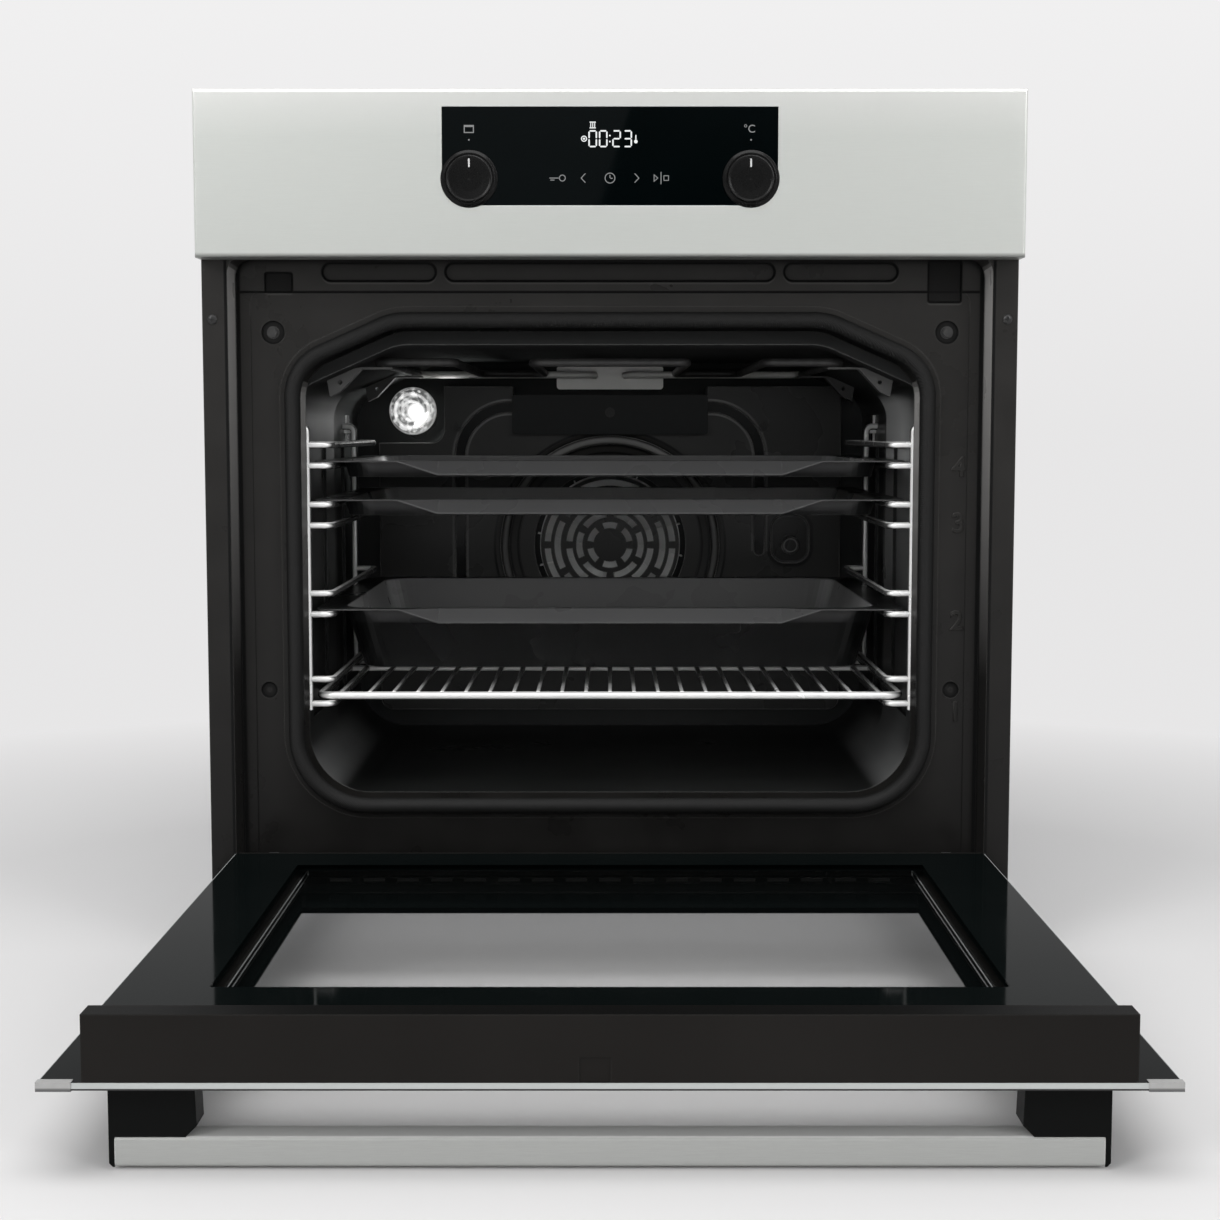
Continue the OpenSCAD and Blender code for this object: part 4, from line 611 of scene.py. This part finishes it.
# the faces of the knobs have worn a little greyer than their rims and rings
face_r = 0.0174
aside, up = abs(moulded.axis(0)) - knob_x, moulded.axis(2) - knob_z
worn = (aside * aside + up * up).math("SQRT").ramp(face_r + 0.0004, face_r - 0.0004)
worn = moulded.tint(worn, (0.0015, 0.0015, 0.0015), (0.0032, 0.0032, 0.0032))
skin = moulded.tint(grain * 0.5, worn, (0.004, 0.004, 0.004))
# painted shade in the creases
skin = moulded.tint(moulded.crease(0.003), skin, (0.0005, 0.0005, 0.0005))
# painted highlight on the edges that face up and to the right
bend = bend * (moulded.facing(2) * 0.6 + moulded.facing(0) * 0.8).ramp(0.2, 0.75)
moulded.feed("Base Color", moulded.tint(bend, skin, (0.2, 0.2, 0.202)))
moulded.feed("Roughness", grain.ramp(0.3, 0.7, 0.22, 0.32))
moulded.bump(grain, 0.05, 0.0002, eased)
moulded.paint("function_knob", "temperature_knob", "knob_rings")

pointer_ink = Finish("pointer_ink", (0.45, 0.45, 0.45), Roughness=0.5)
pointer_ink.feed("Base Color", pointer_ink.tint(pointer_ink.noise(900, 2),
                                                (0.36, 0.36, 0.36), (0.52, 0.52, 0.52)))
for name, x in (("function", -knob_x), ("temperature", knob_x)):
    face_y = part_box(name + "_knob")[0].y
    sign(name + "_pointer", [stroke(x, knob_z + 0.0080, x, knob_z + 0.0140, 0.0012)],
         pointer_ink, name + "_knob", face_y + 0.0012, 0.0004)

# ------------------------------------------------------------------ cavity
# Drawn steel shell in the same enamel as the frame, darker where heat has dulled it.
# The rear wall and the fan cover are separate enamelled sheets, screwed on.
cavity_glaze = Finish("cavity_enamel", (0.012, 0.0128, 0.0126), Roughness=0.22,
                      Specular_IOR_Level=0.45)
heat = cavity_glaze.noise(7, 4)
eased, bend = cavity_glaze.soft_edge(0.0014)
ground = cavity_glaze.tint(heat.ramp(0.3, 0.7), (0.0115, 0.0127, 0.0125),
                           (0.0195, 0.0205, 0.02))
# painted light on the side walls towards the mouth, brightest high up at the right
along, up = cavity_glaze.axis(1) - front_y, cavity_glaze.axis(2) - low_z
lit_wall_strip = abs(cavity_glaze.facing(0)).ramp(0.7, 0.9) * along.ramp(0.283, 0.280)
lit_wall_strip = lit_wall_strip * along.ramp(0.1, 0.19) * cavity_glaze.axis(0).ramp(-0.01, 0.01, 0.3, 1)
wall_light = cavity_glaze.tint(up.ramp(0.2, 0.33), (0.17, 0.173, 0.172), (0.6, 0.606, 0.604))
ground = cavity_glaze.tint(lit_wall_strip, ground, wall_light)
# painted highlight along the rounded lower corners
corner = (abs(cavity_glaze.facing(0)) * cavity_glaze.facing(2)).ramp(0.25, 0.48)
ground = cavity_glaze.tint(corner * along.ramp(0.40, 0.3), ground, (0.2, 0.203, 0.202))
# darker at the front of the ceiling and on the rim that faces the mouth
ceiling = cavity_glaze.facing(2).ramp(-0.5, -0.8) * along.ramp(0.2, 0.12)
rim = cavity_glaze.facing(1).ramp(-0.5, -0.8) * along.ramp(0.08, 0.07)
ground = cavity_glaze.tint(ceiling | rim, ground, (0.0015, 0.0018, 0.0017))
# painted shade deep in creases
deep = cavity_glaze.crease(0.006)
ground = cavity_glaze.tint(deep, ground, (0.002, 0.002, 0.002))
# a pale line on the edges, partly wear and partly painted highlight
cavity_glaze.feed("Base Color", cavity_glaze.tint(bend, ground, (0.12, 0.12, 0.118)))
smoked = cavity_glaze.axis(2).ramp(low_z + 0.375, low_z + 0.395)
cavity_glaze.feed("Roughness", heat.ramp(0.3, 0.7, 0.26, 0.36) + (smoked | rim) * 0.5)
cavity_glaze.bump(cavity_glaze.noise(700, 2), 0.04, 0.0003, eased)
cavity_glaze.paint("cavity_liner", "cavity_rear_wall")

cover_glaze = Finish("fan_cover_enamel", (0.02, 0.0196, 0.0185), Roughness=0.28,
                     Specular_IOR_Level=0.4)
smoke = cover_glaze.noise(9, 4)
eased, bend = cover_glaze.soft_edge(0.0016)
ground = cover_glaze.tint(smoke.ramp(0.3, 0.7), (0.021, 0.0207, 0.0197),
                          (0.031, 0.0305, 0.029))
across, up = cover_glaze.axis(0), cover_glaze.axis(2) - low_z
# painted highlight on the crest of the ring bead round the fan, strongest at the top, with
# painted shade in the valleys beside it and at the rings' steps
fan_z, bead_r, inner_r, outer_r = 0.246, 0.0975, 0.0855, 0.107
fan_up = up - fan_z
off_fan = (across * across + fan_up * fan_up).math("SQRT")
crest_highlight = abs(off_fan - bead_r).ramp(0.0036, 0.0018) * fan_up.ramp(-0.05, 0.08, 0.35, 1)
valley_shade = (abs(off_fan - bead_r).ramp(0.0062, 0.0052)
          | abs(off_fan - outer_r).ramp(0.0016, 0.0008)
          | abs(off_fan - inner_r).ramp(0.0018, 0.0009))
# painted shade inside the two curved grooves, and a painted highlight along one edge of each
arc_x, arc_z, arc_r = 0.093, 0.328, 0.046
aside = abs(across)
bend_x, bend_z = (aside - arc_x) | 0, (up - arc_z) | 0
on_arc = abs((bend_x * bend_x + bend_z * bend_z).math("SQRT") - arc_r)
low_end = up - across.ramp(-0.001, 0.001, 0.214, 0.241)
inside = low_end.ramp(-0.001, 0) * aside.ramp(0.084, 0.085)
groove = on_arc.ramp(0.0056, 0.0048) * inside
groove_highlight = abs(on_arc - 0.0066).ramp(0.0012, 0.0006) * inside
groove_highlight = groove_highlight * aside.ramp(0.1, 0.137, 1, 0.4)
# a round-cornered dish at the right holds a probe's blanked hole
dish_x, dish_z, blank_r = 0.1675, 0.252, 0.008
probe = cover_glaze.edge(across - dish_x, up - dish_z, 0.0195, 0.024, 0.015)
blank = cover_glaze.edge(across - 0.168, up - fan_z, blank_r, blank_r, blank_r)
# painted shade along the outlines of the dish and of the blank and inside the dish, and a
# painted highlight just inside the outlines
dish_shade = abs(probe).ramp(0.0026, 0.0013) | abs(blank).ramp(0.0018, 0.0009)
dish_shade = dish_shade | probe.ramp(-0.001, -0.004) * 0.5
dish_light = (abs(probe + 0.0028).ramp(0.001, 0.0004)
              | abs(blank + 0.002).ramp(0.0009, 0.0004))
ground = cover_glaze.tint(valley_shade | groove | dish_shade, ground, (0.003, 0.003, 0.003))
ground = cover_glaze.tint(groove_highlight | dish_light, ground, (0.15, 0.149, 0.146))
ground = cover_glaze.tint(crest_highlight, ground, (0.17, 0.168, 0.165))
# painted shade deep in creases
deep = cover_glaze.crease(0.005)
ground = cover_glaze.tint(deep, ground, (0.003, 0.003, 0.003))
# a pale line on the edges, partly wear and partly painted highlight
cover_glaze.feed("Base Color", cover_glaze.tint(bend, ground, (0.26, 0.257, 0.25)))
cover_glaze.feed("Roughness", smoke.ramp(0.3, 0.7, 0.24, 0.34))
cover_glaze.bump(cover_glaze.noise(700, 2), 0.04, 0.0003, eased)
cover_glaze.paint("fan_cover")

vent_glaze = Finish("vent_enamel", (0.008, 0.009, 0.009), Roughness=0.3,
                    Specular_IOR_Level=0.3)
vent_smoke = vent_glaze.noise(12, 4)
vent_coat = vent_glaze.tint(vent_smoke.ramp(0.3, 0.7), (0.007, 0.008, 0.008),
                            (0.011, 0.012, 0.012))
# painted highlight on the sides and the top of the vent cover
vent_side_highlight = abs(vent_glaze.facing(0)).ramp(0.5, 0.9) | vent_glaze.facing(2).ramp(0.5, 0.9)
vent_glaze.feed("Base Color", vent_glaze.tint(vent_side_highlight, vent_coat, (0.22, 0.22, 0.215)))
vent_glaze.feed("Roughness", vent_smoke.ramp(0.3, 0.7, 0.26, 0.38))
vent_glaze.paint("vent_cover")

hanger = Finish("bracket_enamel", (0.05, 0.05, 0.05), Roughness=0.35, Specular_IOR_Level=0.35)
hanger_smoke = hanger.noise(60, 4)
strap = hanger.tint(hanger_smoke.ramp(0.3, 0.7), (0.15, 0.15, 0.147), (0.21, 0.21, 0.206))
# the outer straps are smoked, the middle one has been wiped
outer_strap = abs(hanger.axis(0)).ramp(0.08, 0.1)
hanger.feed("Base Color", hanger.tint(outer_strap, strap, (0.055, 0.055, 0.054)))
hanger.feed("Roughness", hanger_smoke.ramp(0.3, 0.7, 0.3, 0.45))
hanger.paint("grill_brackets")

black_screw = Finish("blackened_screws", (0.05, 0.05, 0.05), Metallic=0.7, Roughness=0.4)
black_screw.feed("Roughness", black_screw.noise(500, 3).ramp(0.3, 0.7, 0.3, 0.5))
black_screw.feed("Base Color", black_screw.tint(black_screw.noise(300, 3),
                                                (0.035, 0.035, 0.036), (0.075, 0.074, 0.072)))
black_screw.paint("cavity_screws")

# ------------------------------------------------------------------ cavity lamp
# Pressed glass lens over a small capsule bulb in a ceramic holder, lit.
# The lens has moulded rings and a bright middle, and its rim stays dark.
# The switches behind the knobs have bodies of the same ceramic.
lamp_at, lens_r = (-0.1857, low_z + 0.3708), 0.0225
lens = Finish("lens_glass", (0.6, 0.61, 0.62), Roughness=0.12, Emission_Strength=1.15)
across, up = lens.axis(0) - lamp_at[0], lens.axis(2) - lamp_at[1]
away = (across * across + up * up).math("SQRT")
off_x, off_z = across - 0.004, up + 0.001
core = (off_x * off_x + off_z * off_z).math("SQRT").ramp(0.0095, 0.0065)
rings = (away * 900).math("SINE").ramp(-0.2, 0.9)
patch = lens.noise(230, 3).ramp(0.42, 0.62)
rim = away.ramp(lens_r, lens_r - 0.003)
bright = (core | (rings * 0.35 + patch * 0.5)) * rim
lens.feed("Emission Color", lens.tint(bright, (0.03, 0.03, 0.03), (1, 1, 0.99)))
lens.feed("Base Color", lens.tint(rings, (0.4, 0.41, 0.42), (0.75, 0.76, 0.77)))
lens.bump(rings, 0.5, 0.0008)
lens.paint("lamp_glass")
bulb = Finish("bulb_glass", (0.9, 0.88, 0.8), Roughness=0.1, Emission_Strength=0.8)
bulb.feed("Emission Color", bulb.tint(bulb.noise(120, 1), (1, 0.93, 0.82), (1, 0.97, 0.9)))
bulb.paint("lamp_bulb")
ceramic = Finish("lamp_ceramic", (0.62, 0.6, 0.54), Roughness=0.55)
ceramic.feed("Base Color", ceramic.tint(ceramic.noise(60, 4), (0.56, 0.54, 0.48),
                                        (0.68, 0.66, 0.6)))
ceramic.paint("lamp_housing", "function_switch", "temperature_switch")

# ------------------------------------------------------------------ heating elements
# Steel tubes dulled to near black by use: a grill bent in one plane under the ceiling,
# a ring round the fan, and a loop below the floor of the cavity.
sheath = Finish("heater_sheath", (0.05, 0.05, 0.05), Metallic=0.25, Roughness=0.42)
scale_marks = sheath.noise(120, 4)
skin = sheath.tint(scale_marks.ramp(0.3, 0.7), (0.018, 0.018, 0.0185),
                   (0.036, 0.035, 0.0345))
# the rear runs are pale
bright_run = sheath.axis(1).ramp(front_y + 0.395, front_y + 0.41)
sheath.feed("Base Color", sheath.tint(bright_run, skin, (0.75, 0.745, 0.72)))
sheath.feed("Roughness", scale_marks.ramp(0.3, 0.7, 0.36, 0.52))
sheath.bump(sheath.noise(800, 2), 0.1, 0.0003)
sheath.paint("grill_element", "ring_heater", "base_heater")

# ------------------------------------------------------------------ side guides and shelf
# Bent and welded steel wire, polished and chrome plated.
# The plating has a slight haze all over.
plating = Finish("chrome_plating", (0.85, 0.855, 0.845), Metallic=0.3, Roughness=0.2)
rubbed = plating.noise(70, 4)
plated_ground = plating.tint(rubbed, (0.78, 0.785, 0.775), (0.95, 0.95, 0.94))
# painted reflection: the faces towards the front and the upper faces are pale, the flanks
# between them dark
front_and_top_glint = plating.facing(1).ramp(-0.55, -0.85) | plating.facing(2).ramp(0.6, 0.88)
plating.feed("Base Color", plating.tint(front_and_top_glint, (0.08, 0.08, 0.08), plated_ground))
plating.feed("Roughness", rubbed.ramp(0.3, 0.75, 0.14, 0.3))
plating.paint("guide_left", "guide_right", "guide_fixings", "wire_shelf")

# ------------------------------------------------------------------ trays and pan
# Pressed steel in dark grey enamel with a fine pale fleck.
# The rolled rims carry a painted highlight at the front, where they catch the light.
fleck = Finish("tray_enamel", (0.012, 0.012, 0.0125), Roughness=0.3, Specular_IOR_Level=0.25)
dots = fleck.cells(900).ramp(0.2, 0.12)
wash = fleck.noise(14, 3)
eased, bend = fleck.soft_edge(0.0012)
lip_front = fleck.axis(1).ramp(front_y + 0.0775, front_y + 0.0755)
lip_highlight = 0
for tray in ("tray_upper", "tray_lower", "deep_pan"):
    rim_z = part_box(tray)[1].z
    lip_highlight = abs(fleck.axis(2) - (rim_z - 0.006)).ramp(0.0062, 0.0055) | lip_highlight
ground = fleck.tint((dots * 0.5 + wash * 0.4).ramp(0.1, 0.7), (0.0055, 0.0058, 0.006),
                    (0.013, 0.013, 0.013))
# painted highlight on the rolled rims at the front
ground = fleck.tint(lip_highlight * lip_front, ground, (0.042, 0.042, 0.0425))
# painted light on the inner rear and side walls, strongest on the lower tray's rear wall
inner_rear_light = fleck.facing(1).ramp(-0.3, -0.6)
inner_rear_light = inner_rear_light * fleck.axis(1).ramp(front_y + 0.2, front_y + 0.25)
inner_side_light = abs(fleck.facing(0)).ramp(0.4, 0.8) * fleck.facing(2).ramp(-0.02, 0.02)
tray_low, tray_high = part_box("tray_lower")
low_tray = (fleck.axis(2).ramp(tray_high.z + 0.0005, tray_high.z - 0.0005)
            * fleck.axis(2).ramp(tray_low.z - 0.001, tray_low.z))
rear_wall_light = fleck.tint(low_tray, (0.14, 0.14, 0.14), (0.32, 0.32, 0.32))
ground = fleck.tint(inner_rear_light, ground, rear_wall_light)
ground = fleck.tint(inner_side_light, ground, (0.3, 0.3, 0.3))
# and painted shade on the front walls under the lips
outer = fleck.facing(1).ramp(-0.3, -0.6) * fleck.axis(1).ramp(front_y + 0.19, front_y + 0.17)
outer = outer * (1 - lip_highlight)
ground = fleck.tint(outer, ground, (0.002, 0.0022, 0.0022))
# a pale line on the edges, partly wear and partly painted highlight
fleck.feed("Base Color", fleck.tint(bend * 0.6, ground, (0.12, 0.12, 0.12)))
fleck.feed("Roughness", wash.ramp(0.3, 0.7, 0.24, 0.36))
fleck.bump(fleck.noise(600, 2), 0.05, 0.0003, eased)
fleck.paint("tray_upper", "tray_lower", "deep_pan")

# ------------------------------------------------------------------ housing sheets
# Thin hot-dip zinc-coated sheet for the casing, its covers and the air duct.
# It has the frosty crystal pattern of the dip, and faint scratches.
zinc = Finish("zinc_sheet", (0.45, 0.46, 0.47), Metallic=0.75, Roughness=0.42)
flake = zinc.cells(130, output="Color")
flake_grey = zinc.add("ShaderNodeSeparateColor", {}, {0: flake})
scratch = zinc.noise(90, 4, (1, 8, 1), 0.7)
eased, bend = zinc.soft_edge(0.001)
sheet = zinc.tint(flake_grey * 0.6 + scratch * 0.4, (0.39, 0.40, 0.41), (0.53, 0.54, 0.55))
# a pale line on the edges, partly wear and partly painted highlight
zinc.feed("Base Color", zinc.tint(bend * 0.5, sheet, (0.7, 0.7, 0.7)))
zinc.feed("Roughness", (flake_grey * 0.5 + scratch * 0.5).ramp(0.1, 0.9, 0.34, 0.52))
zinc.bump(scratch, 0.04, 0.0002, eased)
zinc.paint("casing_wrap", "top_cover", "rear_cover", "air_duct")

# ------------------------------------------------------------------ hinges and spindles
# Stamped and turned steel with a dull zinc plating, oiled at the joints.
# The spindles of the knobs are cut from the same plated rod.
plated = Finish("plated_steel", (0.42, 0.43, 0.43), Metallic=0.9, Roughness=0.35)
rub = plated.noise(140, 4)
plated.feed("Base Color", plated.tint(rub, (0.34, 0.35, 0.35), (0.52, 0.53, 0.53)))
plated.feed("Roughness", rub.ramp(0.3, 0.7, 0.28, 0.45))
plated.paint("hinge_channel_left", "hinge_channel_right", "hinge_pins", "hinge_springs",
             "hinge_links", "hinge_arm_left", "hinge_arm_right", "function_spindle",
             "temperature_spindle")

# ------------------------------------------------------------------ hot-air fan
# A stamped wheel of aluminised steel behind the slots of the fan cover.
# Its matt skin is the palest thing in the back of the oven.
wheel = Finish("aluminised_steel", (0.75, 0.755, 0.75), Metallic=0.2, Roughness=0.5)
matt = wheel.noise(90, 4)
wheel.feed("Base Color", wheel.tint(matt, (0.68, 0.685, 0.68), (0.85, 0.855, 0.85)))
wheel.feed("Roughness", matt.ramp(0.3, 0.7, 0.42, 0.6))
wheel.paint("convection_fan")

# ------------------------------------------------------------------ motors
# Stacked steel plates round a copper coil, painted grey.
# The stack shows as fine lines.
motor = Finish("motor_steel", (0.3, 0.3, 0.31), Metallic=0.6, Roughness=0.5)
layers = motor.wave(420, "Y", 0.2)
motor.feed("Base Color", motor.tint(layers, (0.22, 0.22, 0.225), (0.36, 0.36, 0.37)))
motor.bump(layers, 0.2, 0.0003)
motor.paint("fan_motor", "blower_motor")

# ------------------------------------------------------------------ insulation
# Glass wool blanket wrapped round the cavity under the housing sheets.
# It is yellow and fibrous, and holds itself up by its own spring.
wool = Finish("glass_wool", (0.62, 0.52, 0.28), Roughness=0.95)
fibre = wool.noise(300, 5, (1, 3, 1), 0.8)
wool.feed("Base Color", wool.tint(fibre, (0.5, 0.41, 0.2), (0.74, 0.64, 0.38)))
wool.bump(fibre, 0.8, 0.003)
wool.paint("insulation")

# ------------------------------------------------------------------ plastic parts inside
# Glass-filled black plastic for the panel's carrier and the blower.
# Its skin is faintly speckled.
filled = Finish("filled_plastic", (0.06, 0.06, 0.062), Roughness=0.55)
speck = filled.noise(1400, 2)
filled.feed("Base Color", filled.tint(speck, (0.04, 0.04, 0.042), (0.08, 0.08, 0.083)))
filled.bump(speck, 0.15, 0.0003)
filled.paint("panel_carrier", "blower_housing", "blower_rotor")

# ------------------------------------------------------------------ display board
# Printed board behind the clock, held by the carrier.
# Green solder mask lies over its copper tracks.
board = Finish("circuit_board", (0.02, 0.13, 0.05), Roughness=0.4)
tracks = board.cells(240, "DISTANCE_TO_EDGE").ramp(0.03, 0.07)
board.feed("Base Color", board.tint(tracks, (0.06, 0.25, 0.1), (0.01, 0.09, 0.035)))
board.paint("display_board")

# ------------------------------------------------------------------ terminal box
# Off-white moulded box at the back, where the mains cord goes in.
# The plastic has a fine grain.
off_white = Finish("terminal_plastic", (0.68, 0.66, 0.6), Roughness=0.5)
off_white.feed("Base Color", off_white.tint(off_white.noise(40, 3), (0.62, 0.6, 0.54),
                                            (0.73, 0.71, 0.65)))
off_white.bump(off_white.noise(1500, 2), 0.1, 0.0002)
off_white.paint("terminal_box")

# ------------------------------------------------------------------ door panes
# Three tempered panes with ground edges. The outer and the inner one are printed black
# on the inside round a clear window; the middle one is clear all over.
pivot_y, pivot_height = front_y + 0.0115, 0.023


def opened(height):
    """Where a height on the closed door lies along y when the door hangs open."""
    return pivot_y - (height - pivot_height)


def printed_pane(name, target, half_x, low_edge, high_edge, clear, glint_share):
    """Paint a pane; its window reaches half_x aside and between two heights when closed."""
    made = Finish(name, (0.003, 0.0042, 0.0042), Roughness=0.05, Specular_IOR_Level=0.01)
    x, y = made.axis(0), made.axis(1)
    near_y, far_y = opened(high_edge), opened(low_edge)
    side = abs(x).ramp(half_x - 0.0006, half_x + 0.0006)
    border = side | y.ramp(near_y + 0.0006, near_y - 0.0006) | y.ramp(far_y - 0.0006,
                                                                      far_y + 0.0006)
    low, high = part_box(target)
    ground = (abs(x).ramp(high.x - 0.0005, high.x - 0.0003)
              | y.ramp(low.y + 0.0005, low.y + 0.0003))
    glint = made.add("ShaderNodeFresnel", {}, {"IOR": 1.2})
    smear = made.noise(12, 4)
    made.feed("Alpha", border | (glint * glint_share + clear))
    ink = made.tint(smear, (0.002, 0.0032, 0.0032), (0.004, 0.0053, 0.0053))
    # a ground end is pale green-grey, with the ink behind it showing as a dark line
    end = made.tint(made.axis(2).ramp(low.z + 0.0011, low.z + 0.0008), (0.36, 0.375, 0.37),
                    (0.03, 0.03, 0.03))
    made.feed("Base Color", made.tint(ground, ink, end))
    made.feed("Roughness", smear.ramp(0.35, 0.75, 0.04, 0.09) + ground * 0.4)
    made.paint(target)


printed_pane("inner_pane", "door_inner_glass", 0.2225, 0.0795, 0.393, 0.03, 0.12)
printed_pane("outer_pane", "door_outer_glass", 0.2185, 0.090, 0.400, 0.02, 0.12)
middle = Finish("clear_pane", (0.01, 0.012, 0.012), Roughness=0.05,
                Specular_IOR_Level=0.05)
glint = middle.add("ShaderNodeFresnel", {}, {"IOR": 1.2})
line = (abs(middle.axis(0)) - 0.2204).math("ABSOLUTE").ramp(0.0006, 0.0004)
middle.feed("Alpha", (glint * 0.1 + 0.02) | line)
middle.feed("Base Color", middle.tint(line, (0.01, 0.012, 0.012), (0.3, 0.31, 0.31)))
middle.feed("Roughness", middle.noise(15, 3).ramp(0.3, 0.7, 0.03, 0.08))
middle.paint("door_middle_glass")

# ------------------------------------------------------------------ door frame
# Folded rails at the sides and foot of the door, and the trim along its top.
# All are in baked black powder coat with a fine even texture.
powder = Finish("powder_coat", (0.0115, 0.0108, 0.01), Roughness=0.5,
                Specular_IOR_Level=0.04)
texture = powder.noise(1500, 2)
eased, bend = powder.soft_edge(0.001)
coat = powder.tint(powder.noise(10, 3), (0.0085, 0.0078, 0.0072), (0.013, 0.012, 0.0112))
trim_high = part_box("door_top_trim")[1]
# painted shade on the upward faces of the top trim
shaded = powder.facing(2).ramp(0.6, 0.95) * powder.axis(1).ramp(trim_high.y + 0.0005,
                                                                trim_high.y - 0.0005)
coat = powder.tint(shaded, coat, (0.003, 0.003, 0.0029))
# a pale line on the edges, partly wear and partly painted highlight
powder.feed("Base Color", powder.tint(bend * 0.5, coat, (0.035, 0.034, 0.032)))
powder.feed("Roughness", texture.ramp(0.3, 0.7, 0.45, 0.58))
powder.bump(texture, 0.12, 0.0003, eased)
powder.paint("door_rail_left", "door_rail_right", "door_bottom_rail", "door_top_trim")

# ------------------------------------------------------------------ handle brackets
# Two solid black plastic blocks that stand between the door and the handle.
# They are fine-grained, and screwed on from inside the door.
block = Finish("bracket_plastic", (0.004, 0.004, 0.004), Roughness=0.45,
               Specular_IOR_Level=0.06)
block_grain = block.noise(1600, 2)
block.feed("Base Color", block.tint(block_grain, (0.002, 0.0022, 0.0021),
                                    (0.004, 0.0043, 0.0042)))
block.bump(block_grain, 0.1, 0.0002, block.soft_edge(0.001)[0])
block.paint("handle_mounts")

# ------------------------------------------------------------------ glass corner caps
# Two pale plastic clips that guard the upper corners of the outer pane.
# Their lower edges lie in shade and are darker.
caps = Finish("corner_cap", (0.28, 0.28, 0.275), Roughness=0.4)
cap_body = caps.tint(caps.noise(200, 2), (0.25, 0.25, 0.245), (0.31, 0.31, 0.305))
cap_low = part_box("door_corner_caps")[0].z
caps.feed("Base Color", caps.tint(caps.axis(2).ramp(cap_low + 0.0022, cap_low + 0.0012),
                                  cap_body, (0.08, 0.08, 0.08)))
caps.paint("door_corner_caps")

# ------------------------------------------------------------------ handle
# Flat hollow bar of brushed stainless steel between two black brackets.
# Its upper face carries a painted highlight of the light from above, and its long edges a pale
# line, partly wear and partly painted highlight.
handle_steel = Finish("handle_steel", (0.45, 0.455, 0.44), Metallic=0.35, Roughness=0.34,
                      Anisotropic=0.5)
brush = handle_steel.noise(150, 4, (0.6, 30, 30), 0.65)
eased, bend = handle_steel.soft_edge(0.0014)
bar_steel = handle_steel.tint(brush, (0.30, 0.305, 0.295), (0.40, 0.405, 0.395))
# painted highlight on the upper face
upper = handle_steel.facing(2).ramp(0.6, 0.9)
bar_steel = handle_steel.tint(upper, bar_steel, (0.78, 0.785, 0.77))
# a pale line on the long edges, partly wear and partly painted highlight
handle_steel.feed("Base Color", handle_steel.tint(bend * 0.7, bar_steel, (0.85, 0.85, 0.84)))
handle_steel.feed("Roughness", brush.ramp(0.2, 0.8, 0.28, 0.4))
handle_steel.bump(brush, 0.05, 0.0002, eased)
handle_steel.paint("handle_bar")
